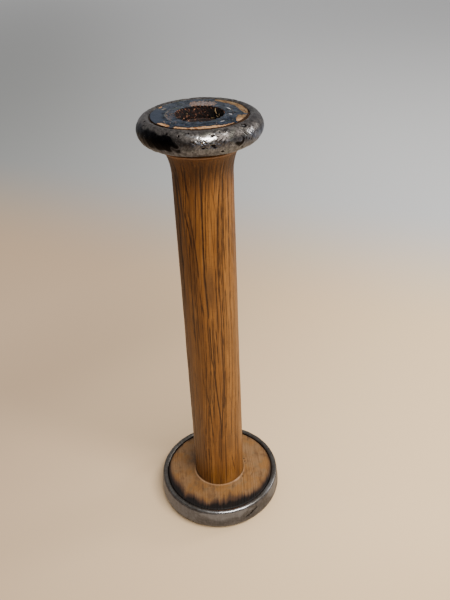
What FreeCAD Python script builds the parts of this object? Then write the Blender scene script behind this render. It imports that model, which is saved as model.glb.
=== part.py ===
"""Wooden mill spool with steel-shod heads, in millimetres, +Z up, standing on its larger head.

The origin is the middle of the foot. Each head, shield and sleeve is built in a frame of its own,
where height is the depth below its outer face, and the ones at the top are then turned over.
"""
import FreeCAD, Part
import math
import os
import Sketcher
from dataclasses import dataclass

SIZES = {
    # the whole spool
    "overall_height": 241.0,
    # the barrel, its walls counted from the seat that holds a sleeve
    "foot_wall": 4.2,
    "neck_wall": 3.8,
    "top_tenon_wall": 4.2,
    "flare_width": 5.1,
    "flare_cove_radius": 29.0,
    "bore_relief": 0.3,
    "mouth_chamfer": 0.6,
    # both shields
    "shield_thickness": 1.4,
    "bead_radius": 1.8,
    "hem_depth": 2.0,
    "hem_gap": 0.3,
    "flange_gap": 0.3,
    # the top shield
    "top_rim_radius": 28.6,
    "top_corner_radius": 6.1,
    "top_wall_slope": 38.0,
    "top_wall_length": 0.6,
    "top_flange_flat": 0.5,
    # the bottom shield
    "bottom_rim_radius": 36.9,
    "bottom_corner_radius": 6.1,
    "bottom_wall_slope": 6.0,
    "bottom_wall_length": 7.0,
    "bottom_flange_flat": 0.5,
    # the wooden heads
    "face_inset": 1.1,
    "hub_rise": 0.7,
    "hub_land": 2.4,
    "edge_chamfer": 1.0,
    "joint_chamfer": 0.3,
    # the sleeves
    "spindle_bore_radius": 9.6,
    "sleeve_thickness": 1.0,
    "sleeve_length": 22.0,
    "sleeve_chamfer": 0.4,
    "top_sleeve_depth": 6.0,
    "bottom_sleeve_depth": 1.0,
    "drive_slot_width": 4.0,
    "drive_slot_depth": 6.0,
}

SLOT_OVERRUN = 2.0
MM3_PER_CM3 = 1000.0
HALF_TURN = FreeCAD.Rotation(FreeCAD.Vector(1, 0, 0), 180)

SEAT_RADIUS = "(Sizes.spindle_bore_radius + Sizes.sleeve_thickness)"
BORE_RADIUS = "(Sizes.spindle_bore_radius + Sizes.bore_relief)"
FOOT_RADIUS = f"({SEAT_RADIUS} + Sizes.foot_wall)"
NECK_RADIUS = f"({SEAT_RADIUS} + Sizes.neck_wall)"
TENON_RADIUS = f"({SEAT_RADIUS} + Sizes.top_tenon_wall)"
FLARE_RADIUS = f"({NECK_RADIUS} + Sizes.flare_width)"


@dataclass(frozen=True)
class Bend:
    """An arc between two corners of a profile, by its radius and centre, as expressions."""

    radius: str
    centre: tuple
    anticlockwise: bool = True


@dataclass(frozen=True)
class End:
    """One end of the spool: where its head and shield lie, as expressions of radius and depth."""

    name: str
    hole_radius: str
    hub_radius: str

    def size(self, name):
        """Names one of this end's own sizes."""
        return f"Sizes.{self.name}_{name}"

    @property
    def arc_radius(self):
        """Radius of the flange's inner edge, where the shield's round corner starts."""
        return f"({self.size('rim_radius')} - {self.size('corner_radius')})"

    @property
    def flange_radius(self):
        """Radius of the hole in the shield's flat flange."""
        return f"({self.arc_radius} - {self.size('flange_flat')})"

    @property
    def arc_centre(self):
        """Centre of the shield's round corner."""
        return (self.arc_radius, self.size("corner_radius"))

    def wall_point(self, inset, along):
        """A point of the sloped wall: inset below its outer skin, along it past the corner."""
        slope = self.size("wall_slope")
        reach = f"({self.size('corner_radius')} - ({inset}))"
        across = f"{self.arc_radius} + {reach} * cos({slope}) - ({along}) * sin({slope})"
        depth = f"{self.size('corner_radius')} + {reach} * sin({slope}) + ({along}) * cos({slope})"
        return (across, depth)

    def hem_point(self, inset, along):
        """A point by the rolled hem: inset below the outer skin, along from the wall's end."""
        return self.wall_point(inset, f"{self.size('wall_length')} + ({along})")

    @property
    def bead_depth(self):
        """Depth of the bead's furthest point, which is the shield's height."""
        return f"({self.hem_point('Sizes.bead_radius', '0')[1]} + Sizes.bead_radius)"

    @property
    def face_depth(self):
        """Depth of the head's yarn face beside the bead."""
        return f"({self.bead_depth} - Sizes.face_inset)"

    @property
    def hub_depth(self):
        """Depth of the head's yarn face at the hub, which is the head's thickness."""
        return f"({self.bead_depth} + Sizes.hub_rise)"

    def edge_radius(self, depth):
        """Radius of the wood beside the hem at a depth."""
        foot = self.hem_point("2 * Sizes.bead_radius + Sizes.hem_gap", "0")
        return f"({foot[0]} - ({depth} - ({foot[1]})) * tan({self.size('wall_slope')}))"


TOP = End("top", TENON_RADIUS, FLARE_RADIUS)
BOTTOM = End("bottom", FOOT_RADIUS, f"({FOOT_RADIUS} + Sizes.hub_land)")


def size_sheet(doc):
    """Writes the driving dimensions into a sheet, one named cell each."""
    sheet = doc.addObject("Spreadsheet::Sheet", "Sizes")
    for row, (name, value) in enumerate(SIZES.items(), start=1):
        sheet.set(f"A{row}", name)
        sheet.set(f"B{row}", str(value))
        sheet.setAlias(f"B{row}", name)
    doc.recompute()
    return sheet


def new_body(doc, name):
    """Makes an empty body whose label names its node."""
    body = doc.addObject("PartDesign::Body", name)
    body.Label = name
    return body


def new_sketch(body, name, role):
    """Makes a sketch on one of the body's own origin planes."""
    sketch = body.newObject("Sketcher::SketchObject", name)
    plane = next(item for item in body.Origin.OriginFeatures if item.Role == role)
    sketch.AttachmentSupport = [(plane, "")]
    sketch.MapMode = "FlatFace"
    return sketch


def point_of(sketch, corner):
    """Works out a corner's place from its two expressions."""
    across, up = (float(sketch.evalExpression(text)) for text in corner)
    return FreeCAD.Vector(across, up, 0)


def arc_between(sketch, bend, start, end):
    """Makes the arc of a bend, and says which of its ends meets the start and the end corner."""
    centre = point_of(sketch, bend.centre)
    radius = float(sketch.evalExpression(bend.radius))
    first, last = (start, end) if bend.anticlockwise else (end, start)
    angles = [math.atan2(spot.y - centre.y, spot.x - centre.x) for spot in (first, last)]
    if angles[1] < angles[0]:
        angles[1] += 2 * math.pi
    circle = Part.Circle(centre, FreeCAD.Vector(0, 0, 1), radius)
    ends = (1, 2) if bend.anticlockwise else (2, 1)
    return Part.ArcOfCircle(circle, *angles), ends


def bind(sketch, constraint, name, expression):
    """Adds a named constraint and ties its value to the sheet."""
    index = sketch.addConstraint(Sketcher.Constraint(*constraint))
    sketch.renameConstraint(index, name)
    sketch.setExpression(f"Constraints.{name}", expression)


def closed_profile(body, name, corners, bends=None, role="XZ_Plane"):
    """Draws a closed outline through corners, with straight sides except where a bend is given."""
    sketch = new_sketch(body, name, role)
    bends = bends or {}
    points = [point_of(sketch, corner) for corner in corners]
    ends = []
    for index, start in enumerate(points):
        end = points[(index + 1) % len(points)]
        if index in bends:
            side, side_ends = arc_between(sketch, bends[index], start, end)
        else:
            side, side_ends = Part.LineSegment(start, end), (1, 2)
        sketch.addGeometry(side)
        ends.append(side_ends)
    for index, (across, up) in enumerate(corners):
        before = (index - 1) % len(corners)
        meeting = (before, ends[before][1], index, ends[index][0])
        sketch.addConstraint(Sketcher.Constraint("Coincident", *meeting))
        spot = (-1, 1, index, ends[index][0])
        bind(sketch, ("DistanceX", *spot, points[index].x), f"across_{index}", across)
        bind(sketch, ("DistanceY", *spot, points[index].y), f"up_{index}", up)
    for index, bend in bends.items():
        radius = float(sketch.evalExpression(bend.radius))
        bind(sketch, ("Radius", index, radius), f"bend_{index}", bend.radius)
    return sketch


def turned(body, sketch, kind="Revolution"):
    """Turns a profile about the spool's axis, adding wood or steel, or cutting it as a Groove."""
    feature = body.newObject(f"PartDesign::{kind}", f"{sketch.Name}_{kind}")
    feature.Profile = sketch
    feature.ReferenceAxis = (sketch, ["V_Axis"])
    feature.Angle = 360
    body.Document.recompute()
    return feature


def place_top(body, depth="0"):
    """Turns a piece over and sets its outer face a depth below the spool's top."""
    body.Placement = FreeCAD.Placement(FreeCAD.Vector(), HALF_TURN)
    body.setExpression("Placement.Base.z", f"Sizes.overall_height - ({depth})")


def add_barrel(doc):
    """Turned tube with a sleeve seat at each end and a coved flare under the top head."""
    body = new_body(doc, "barrel")
    height = "Sizes.overall_height"
    shoulder = f"{height} - {TOP.hub_depth}"
    cove = "Sizes.flare_cove_radius"
    cove_length = f"sqrt({cove} ^ 2 - ({cove} - Sizes.flare_width) ^ 2)"
    neck = f"{shoulder} - {cove_length}"
    top_seat = f"{height} - Sizes.top_sleeve_depth - Sizes.sleeve_length"
    bottom_seat = "Sizes.bottom_sleeve_depth + Sizes.sleeve_length"
    mouth = f"{SEAT_RADIUS} + Sizes.mouth_chamfer"
    corners = [
        (mouth, "0"),
        (FOOT_RADIUS, "0"),
        (FOOT_RADIUS, BOTTOM.hub_depth),
        (NECK_RADIUS, neck),
        (FLARE_RADIUS, shoulder),
        (TENON_RADIUS, shoulder),
        (TENON_RADIUS, height),
        (mouth, height),
        (SEAT_RADIUS, f"{height} - Sizes.mouth_chamfer"),
        (SEAT_RADIUS, top_seat),
        (BORE_RADIUS, top_seat),
        (BORE_RADIUS, bottom_seat),
        (SEAT_RADIUS, bottom_seat),
        (SEAT_RADIUS, "Sizes.mouth_chamfer"),
    ]
    bends = {3: Bend(cove, (f"{NECK_RADIUS} + {cove}", neck), anticlockwise=False)}
    turned(body, closed_profile(body, "barrel_profile", corners, bends))
    return body


def add_head(doc, end):
    """Turned disc: its rim fills the shield, and its yarn face falls from the hub to the bead."""
    body = new_body(doc, f"{end.name}_head")
    thickness = "Sizes.shield_thickness"
    under_flange = f"{end.flange_radius} - Sizes.flange_gap"
    edge = f"{end.face_depth} - Sizes.edge_chamfer"
    corners = [
        (end.hole_radius, "0"),
        (under_flange, "0"),
        (under_flange, thickness),
        (end.arc_radius, thickness),
        end.wall_point(thickness, "0"),
        end.hem_point(thickness, "0"),
        (end.edge_radius(edge), edge),
        (f"{end.edge_radius(end.face_depth)} - Sizes.edge_chamfer", end.face_depth),
        (end.hub_radius, end.hub_depth),
        (f"{end.hole_radius} + Sizes.joint_chamfer", end.hub_depth),
        (end.hole_radius, f"{end.hub_depth} - Sizes.joint_chamfer"),
    ]
    inner_corner = f"{end.size('corner_radius')} - {thickness}"
    bends = {3: Bend(inner_corner, end.arc_centre)}
    turned(body, closed_profile(body, f"{end.name}_head_profile", corners, bends))
    inset = "2 * Sizes.bead_radius + Sizes.hem_gap"
    clear = "3 * Sizes.bead_radius"
    seat = [
        end.hem_point(inset, "0 - Sizes.hem_depth"),
        end.hem_point("0", "0 - Sizes.hem_depth"),
        end.hem_point("0", clear),
        end.hem_point(inset, clear),
    ]
    turned(body, closed_profile(body, f"{end.name}_hem_seat", seat), "Groove")
    return body


def add_shield(doc, end):
    """Rolled steel shield: flat flange, round corner, sloped wall and a beaded hem."""
    body = new_body(doc, f"{end.name}_rim_ring")
    thickness = "Sizes.shield_thickness"
    bead = "Sizes.bead_radius"
    corner = end.size("corner_radius")
    corners = [
        (end.flange_radius, "0"),
        (end.arc_radius, "0"),
        end.wall_point("0", "0"),
        end.hem_point("0", "0"),
        end.hem_point(thickness, "0"),
        end.wall_point(thickness, "0"),
        (end.arc_radius, thickness),
        (end.flange_radius, thickness),
    ]
    bends = {
        1: Bend(corner, end.arc_centre),
        5: Bend(f"{corner} - {thickness}", end.arc_centre, anticlockwise=False),
    }
    turned(body, closed_profile(body, f"{end.name}_shield_profile", corners, bends))
    half_sheet = f"{thickness} / 2"
    bead_centre = end.hem_point(bead, "0")
    hem = [
        end.hem_point("0", "0"),
        end.hem_point(bead, bead),
        end.hem_point(f"2 * {bead}", "0"),
        end.hem_point(f"2 * {bead}", "0 - Sizes.hem_depth"),
        end.hem_point(half_sheet, "0 - Sizes.hem_depth"),
        end.hem_point(half_sheet, "0"),
    ]
    bends = {0: Bend(bead, bead_centre), 1: Bend(bead, bead_centre)}
    turned(body, closed_profile(body, f"{end.name}_hem_profile", hem, bends))
    return body


def add_sleeve(doc, end):
    """Thin steel tube with its inner edges eased."""
    body = new_body(doc, f"{end.name}_bushing")
    bore = "Sizes.spindle_bore_radius"
    eased = f"{bore} + Sizes.sleeve_chamfer"
    length = "Sizes.sleeve_length"
    corners = [
        (eased, "0"),
        (SEAT_RADIUS, "0"),
        (SEAT_RADIUS, length),
        (eased, length),
        (bore, f"{length} - Sizes.sleeve_chamfer"),
        (bore, "Sizes.sleeve_chamfer"),
    ]
    turned(body, closed_profile(body, f"{end.name}_sleeve_profile", corners))
    return body


def cut_drive_slots(body):
    """Cuts the two slots across the sleeve's outer end that a spindle's driver turns it by."""
    half_width = "Sizes.drive_slot_width / 2"
    reach = f"({SEAT_RADIUS} + {SLOT_OVERRUN})"
    corners = [
        (f"0 - {reach}", f"0 - {half_width}"),
        (reach, f"0 - {half_width}"),
        (reach, half_width),
        (f"0 - {reach}", half_width),
    ]
    before = body.Shape.Volume
    slots = body.newObject("PartDesign::Pocket", "drive_slots")
    slots.Profile = closed_profile(body, "drive_slot_outline", corners, role="XY_Plane")
    slots.Reversed = True
    slots.setExpression("Length", "Sizes.drive_slot_depth")
    body.Document.recompute()
    assert body.Shape.Volume < before, "the drive slots cut nothing"


def check(doc, bodies):
    """Stops if any object failed or any piece isn't one valid solid."""
    for item in doc.Objects:
        assert not {"Invalid", "Error"} & set(item.State), f"{item.Name}: {item.State}"
    for body in bodies:
        shape = body.Shape
        assert not shape.isNull() and shape.isValid(), f"{body.Label} isn't valid"
        assert len(shape.Solids) == 1, f"{body.Label} has {len(shape.Solids)} solids"


def build():
    """Builds every piece and writes each to its own STEP file."""
    doc = FreeCAD.newDocument("spool")
    size_sheet(doc)
    bodies = [add_barrel(doc)]
    for end in (TOP, BOTTOM):
        bodies += [add_head(doc, end), add_shield(doc, end), add_sleeve(doc, end)]
    by_name = {body.Name: body for body in bodies}
    cut_drive_slots(by_name["bottom_bushing"])
    place_top(by_name["top_head"])
    place_top(by_name["top_rim_ring"])
    place_top(by_name["top_bushing"], "Sizes.top_sleeve_depth")
    by_name["bottom_bushing"].setExpression("Placement.Base.z", "Sizes.bottom_sleeve_depth")
    doc.recompute()
    check(doc, bodies)
    os.makedirs("parts", exist_ok=True)
    for body in bodies:
        body.Shape.exportStep(f"parts/{body.Label}.step")
        box = body.Shape.optimalBoundingBox(False)
        volume = body.Shape.Volume / MM3_PER_CM3
        span = f"height {box.ZMin:.2f} to {box.ZMax:.2f}"
        print(f"{body.Label}: {volume:.2f} cm3, radius {box.XMax:.2f}, {span}")


build()
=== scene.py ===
"""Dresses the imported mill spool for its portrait.

The spool is an empty turned-wood bobbin that stands on its larger head: a long bored barrel, a head on
each end, a rolled steel shield round each head and a steel sleeve in each end of the bore. Every piece is
turned, so every piece is one closed section carried round the axis, with its wear, checks, pits and chips
worked out as offsets along the section's normal.

Sizes inside the classes are in millimetres, heights are measured from the surface that the spool stands
on, and angles run from the side that faces the camera towards +X. The meshes are in metres, in the frame
of the CAD model.
"""

import logging
import math
from dataclasses import dataclass
from enum import Enum
from functools import reduce
from typing import Any, Union

import bpy
import numpy as np
from mathutils import Matrix, Vector


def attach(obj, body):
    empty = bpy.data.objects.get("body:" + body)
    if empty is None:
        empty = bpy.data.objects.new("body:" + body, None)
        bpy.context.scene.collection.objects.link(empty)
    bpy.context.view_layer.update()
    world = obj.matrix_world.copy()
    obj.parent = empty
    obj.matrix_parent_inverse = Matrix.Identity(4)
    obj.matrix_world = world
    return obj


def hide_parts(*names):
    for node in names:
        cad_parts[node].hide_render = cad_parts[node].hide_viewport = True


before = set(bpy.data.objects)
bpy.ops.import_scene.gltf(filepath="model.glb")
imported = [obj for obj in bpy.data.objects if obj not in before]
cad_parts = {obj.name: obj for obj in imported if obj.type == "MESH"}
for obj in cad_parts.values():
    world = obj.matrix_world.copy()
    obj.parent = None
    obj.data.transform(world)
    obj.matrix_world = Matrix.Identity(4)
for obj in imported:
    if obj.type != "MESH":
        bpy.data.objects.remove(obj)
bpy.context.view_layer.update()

MM = 0.001
FULL_TURN = 2 * math.pi
LOG = logging.getLogger("mill_spool")

Array = np.ndarray
Pair = tuple[float, float]
Colour = tuple[float, float, float]
Marks = dict[str, Array]
Thing = bpy.types.Object
Material = bpy.types.Material


# Sections and patterns


def line(start: Pair, end: Pair, steps: int) -> Array:
    """Points along a straight run of a section, its end left out.

    Args:
        start: Radius and height where the run begins.
        end: Radius and height where the next run begins.
        steps: How many points the run has.

    Returns:
        The points as a steps x 2 array: start + (end - start) * i / steps.
    """
    share = np.arange(steps)[:, None] / steps
    return np.array(start) + share * (np.array(end) - np.array(start))


def arc(centre: Pair, reach: Union[float, Pair], turn: Pair, steps: int) -> Array:
    """Points along a round run of a section, its end left out.

    Args:
        centre: Radius and height of the centre.
        reach: The arc's radius, or its two half axes across and up.
        turn: First and last direction in degrees, from outward (0) through up (90).
        steps: How many points the run has.

    Returns:
        The points as a steps x 2 array: centre + reach * (cos, sin) of the direction.
    """
    bearing = np.radians(turn[0] + (turn[1] - turn[0]) * np.arange(steps) / steps)
    return np.array(centre) + np.array(reach) * np.stack([np.cos(bearing), np.sin(bearing)], 1)


def lines(*stops: Union[Pair, int]) -> Array:
    """Straight runs through corners, with each run's number of points between its two corners."""
    corners, steps = stops[::2], stops[1::2]
    return np.concatenate([line(*run) for run in zip(corners, corners[1:], steps)])


def clamp(value: Array) -> Array:
    """Values cut to the range from 0 to 1."""
    return np.clip(value, 0.0, 1.0)


def smooth(value: Array, low: float, high: float) -> Array:
    """Rises from 0 at low to 1 at high along 3t^2 - 2t^3; low may be the larger."""
    share = clamp((value - low) / (high - low))
    return share * share * (3.0 - 2.0 * share)


def apart(angle: Array, centre: Union[float, Array]) -> Array:
    """Signed degrees from centre to angle, the short way round."""
    return (angle - centre + 180.0) % 360.0 - 180.0


def sector(angle: Array, centre: float, far: float, near: float, stray: Union[float, Array] = 0.0) -> Array:
    """1 within near degrees of centre, easing to 0 at far; stray degrees fray its edge."""
    return smooth(np.abs(apart(angle, centre)) + stray, far, near)


def bell(value: Array, centre: Union[float, Array], width: float, power: int = 2) -> Array:
    """1 at centre, falling away as exp(-((value - centre) / width)^power)."""
    return np.exp(-(((value - centre) / width) ** power))


def largest(*fields: Array) -> Array:
    """The largest of several fields at each point of their common grid."""
    return reduce(np.maximum, fields)


@dataclass(frozen=True)
class Ripples:
    """A seeded sum of cosines, whole in number round the axis, with about unit spread."""

    seed: int
    turns: tuple[int, int]
    length: Pair
    waves: int = 28

    def over(self, angle: Array, along: Array) -> Array:
        """Adds the waves up on a grid.

        Args:
            angle: Degrees round the axis.
            along: Millimetres along the section or the height.

        Returns:
            sqrt(2 / n) * sum of cos(k * angle + 2 pi * along / length + phase), with whole k between
            the two turns and each length between the two lengths.
        """
        dice = np.random.default_rng(self.seed)
        total = np.zeros(np.broadcast(angle, along).shape)
        for _ in range(self.waves):
            around = dice.integers(self.turns[0], self.turns[1] + 1)
            pitch = dice.uniform(*self.length) * dice.choice((-1.0, 1.0))
            phase = dice.uniform(0, FULL_TURN)
            total += np.cos(np.radians(around * angle) + FULL_TURN * along / pitch + phase)
        return total * math.sqrt(2.0 / self.waves)


@dataclass(frozen=True)
class Dents:
    """Seeded round dents and pits on a band of a turned surface."""

    seed: int
    count: int
    along: Pair
    radius: Pair
    depth: Pair

    def over(self, angle: Array, along: Array, reach: float) -> Array:
        """Works out the depth of the pits on a grid.

        Args:
            angle: Degrees round the axis, one row.
            along: Millimetres along the section, one column.
            reach: Radius of the surface, which turns degrees into millimetres.

        Returns:
            The largest depth * (1 - (distance / radius)^2)^2 of any pit, 0 outside them all. Small pits
            are commoner than large ones: the radius grows with the cube of an even draw.
        """
        dice = np.random.default_rng(self.seed)
        bearing = dice.uniform(-180.0, 180.0, self.count)
        place = dice.uniform(*self.along, self.count)
        size = self.radius[0] + (self.radius[1] - self.radius[0]) * dice.uniform(0, 1, self.count) ** 3
        deep = dice.uniform(*self.depth, self.count) * size / self.radius[1]
        stretch = dice.uniform(0.6, 1.7, self.count)
        deepest = np.zeros(np.broadcast(angle, along).shape)
        for centre, spot, wide, low, long in zip(bearing, place, size, deep, stretch):
            across = np.radians(apart(angle, centre)) * reach / long
            away = (across**2 + (along - spot) ** 2) / wide**2
            np.maximum(deepest, low * clamp(1.0 - away) ** 2, out=deepest)
        return deepest


@dataclass(frozen=True)
class Spot:
    """One placed mark: its angle and distance along, its half widths in millimetres, its lean and depth."""

    angle: float
    along: float
    wide: float
    tall: float
    depth: float
    lean: float = 0.0

    def over(self, angle: Array, along: Array, reach: float) -> Array:
        """Works out the mark on a grid.

        Args:
            angle: Degrees round the axis, one row.
            along: Millimetres along the section, one column.
            reach: Radius of the surface.

        Returns:
            depth * exp(-(a^2 + b^2)^1.5), where a and b are the distances across and along the mark's
            own axes in units of its half widths.
        """
        across = np.radians(apart(angle, self.angle)) * reach
        up = along - self.along
        tilt = math.radians(self.lean)
        first = (across * math.cos(tilt) + up * math.sin(tilt)) / self.wide
        second = (up * math.cos(tilt) - across * math.sin(tilt)) / self.tall
        return self.depth * np.exp(-((first**2 + second**2) ** 1.5))


@dataclass(frozen=True)
class Smear:
    """A soft-edged stain between two lines of angle and distance along the section."""

    strength: float
    upper: tuple[Pair, ...]
    lower: tuple[Pair, ...]
    softness: float

    def over(self, angle: Array, along: Array, ragged: Array) -> Array:
        """Works out the stain on a grid.

        Args:
            angle: Degrees round the axis.
            along: Millimetres along the section.
            ragged: Ripples that fray the edges.

        Returns:
            strength where the point lies between the two lines, easing to 0 over the softness.
        """
        high = np.interp(angle, *np.array(self.upper).T) + 0.5 * ragged
        low = np.interp(angle, *np.array(self.lower).T) + 0.4 * ragged
        first, last = self.upper[0][0], self.upper[-1][0]
        loose = angle + 2.2 * ragged
        ends = smooth(loose, first - 4.0, first + 4.0) * smooth(loose, last + 4.0, last - 4.0)
        inside = smooth(along, high + self.softness, high - self.softness)
        return self.strength * ends * inside * smooth(along, low - self.softness, low + self.softness)


@dataclass(frozen=True)
class Check:
    """A drying crack or an open pore line: points of angle and height, and how dark and wide it is."""

    strength: float
    path: tuple[Pair, ...]
    width: float

    def over(self, angle: Array, height: Array, reach: float) -> Array:
        """Works out how deep in the crack each point of a grid lies.

        Args:
            angle: Degrees round the axis, one row.
            height: Millimetres above the foot, one column.
            reach: Radius of the surface.

        Returns:
            strength * taper * exp(-(distance / width)^2), where the distance is measured round the
            surface from the path's angle at that height and the taper closes the two ends.
        """
        angles, heights = np.array(self.path).T
        order = np.argsort(heights)
        centre = np.interp(height, heights[order], angles[order])
        low, high = heights.min(), heights.max()
        ease = min(6.0, (high - low) / 3.0)
        taper = smooth(height, low - 0.5, low + ease) * smooth(height, high + 0.5, high - ease)
        away = np.radians(apart(angle, centre)) * reach / self.width
        return self.strength * taper * np.exp(-(away**2))


def pooled(marks: tuple[Any, ...], angle: Array, along: Array, *rest: Union[float, Array]) -> Array:
    """The largest value of any of the marks at each point of a grid, 0 where there is none."""
    blank = np.zeros(np.broadcast(angle, along).shape)
    return reduce(np.maximum, (mark.over(angle, along, *rest) for mark in marks), blank)


def turned_mesh(name: str, section: Array, columns: Array, offset: Array, marks: Marks) -> Thing:
    """Carries a closed section round the axis and makes the object.

    The point of row i and column j is section[i] + offset[i, j] * normal[i], turned to the angle of the
    column: x = r sin(angle), y = -r cos(angle), z = height. Rows and columns both close on themselves, so
    the surface has no seam or pole.

    Args:
        name: The piece's name.
        section: Radii and heights in millimetres, anticlockwise round the solid.
        columns: The angles of the columns in degrees.
        offset: Millimetres outward from the section, rows x columns.
        marks: Point attributes that the materials read, rows x columns each.

    Returns:
        The object, at the origin, smooth shaded.
    """
    normal = facing(section)
    radius = section[:, :1] + offset * normal[:, :1]
    height = section[:, 1:] + offset * normal[:, 1:]
    turn = np.radians(columns)[None, :]
    points = np.stack([radius * np.sin(turn), -radius * np.cos(turn), height + 0.0 * turn], -1) * MM
    rows, count = offset.shape
    index = np.arange(rows * count).reshape(rows, count)
    above, beside = np.roll(index, -1, 0), np.roll(index, -1, 1)
    faces = np.stack([index, beside, np.roll(above, -1, 1), above], -1).reshape(-1, 4)
    flat = {key: value.reshape((-1, 3) if value.ndim == 3 else -1) for key, value in marks.items()}
    return mesh_object(name, points.reshape(-1, 3), faces, flat)


def mesh_object(name: str, points: Array, faces: Array, marks: Marks) -> Thing:
    """Puts points and four-sided faces into a new object.

    Args:
        name: The object's and the mesh's name.
        points: Vertex places in metres, n x 3.
        faces: Vertex numbers, m x 4, anticlockwise seen from outside.
        marks: Point attributes, n values or n x 3 vectors each.

    Returns:
        The object, linked to the scene.
    """
    mesh = bpy.data.meshes.new(name)
    mesh.vertices.add(len(points))
    mesh.vertices.foreach_set("co", points.astype(np.float32).ravel())
    mesh.loops.add(faces.size)
    mesh.loops.foreach_set("vertex_index", faces.astype(np.int32).ravel())
    mesh.polygons.add(len(faces))
    mesh.polygons.foreach_set("loop_start", np.arange(0, faces.size, 4, dtype=np.int32))
    mesh.polygons.foreach_set("loop_total", np.full(len(faces), 4, dtype=np.int32))
    mesh.polygons.foreach_set("use_smooth", np.ones(len(faces), dtype=bool))
    for key, value in marks.items():
        kind, slot = ("FLOAT_VECTOR", "vector") if value.ndim == 2 else ("FLOAT", "value")
        mesh.attributes.new(key, kind, "POINT").data.foreach_set(slot, value.astype(np.float32).ravel())
    mesh.update(calc_edges=True)
    mesh.validate()
    thing = bpy.data.objects.new(name, mesh)
    bpy.context.scene.collection.objects.link(thing)
    return thing


# Shader nodes


class Signal:
    """A shader socket that adds Math nodes when it is used in a sum."""

    def __init__(self, bench: "Bench", socket: bpy.types.NodeSocket) -> None:
        """Keeps the socket and the material that it belongs to."""
        self.bench = bench
        self.socket = socket

    def __add__(self, other: "Operand") -> "Signal":
        """This value plus another."""
        return self.bench.maths("ADD", self, other)

    def __sub__(self, other: "Operand") -> "Signal":
        """This value less another."""
        return self.bench.maths("SUBTRACT", self, other)

    def __rsub__(self, other: "Operand") -> "Signal":
        """Another value less this."""
        return self.bench.maths("SUBTRACT", other, self)

    def __mul__(self, other: "Operand") -> "Signal":
        """This value times another."""
        return self.bench.maths("MULTIPLY", self, other)

    __radd__ = __add__
    __rmul__ = __mul__

    def between(self, low: float, high: float) -> "Signal":
        """Rises smoothly from 0 at low to 1 at high; low may be the larger."""
        if low > high:
            return 1.0 - self.between(high, low)
        return self.bench.add(
            "ShaderNodeMapRange",
            {"interpolation_type": "SMOOTHSTEP"},
            {0: self, 1: low, 2: high},
        )

    def size(self) -> "Signal":
        """This value without its sign."""
        return self.bench.maths("ABSOLUTE", self)


Operand = Union[Signal, float]


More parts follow.
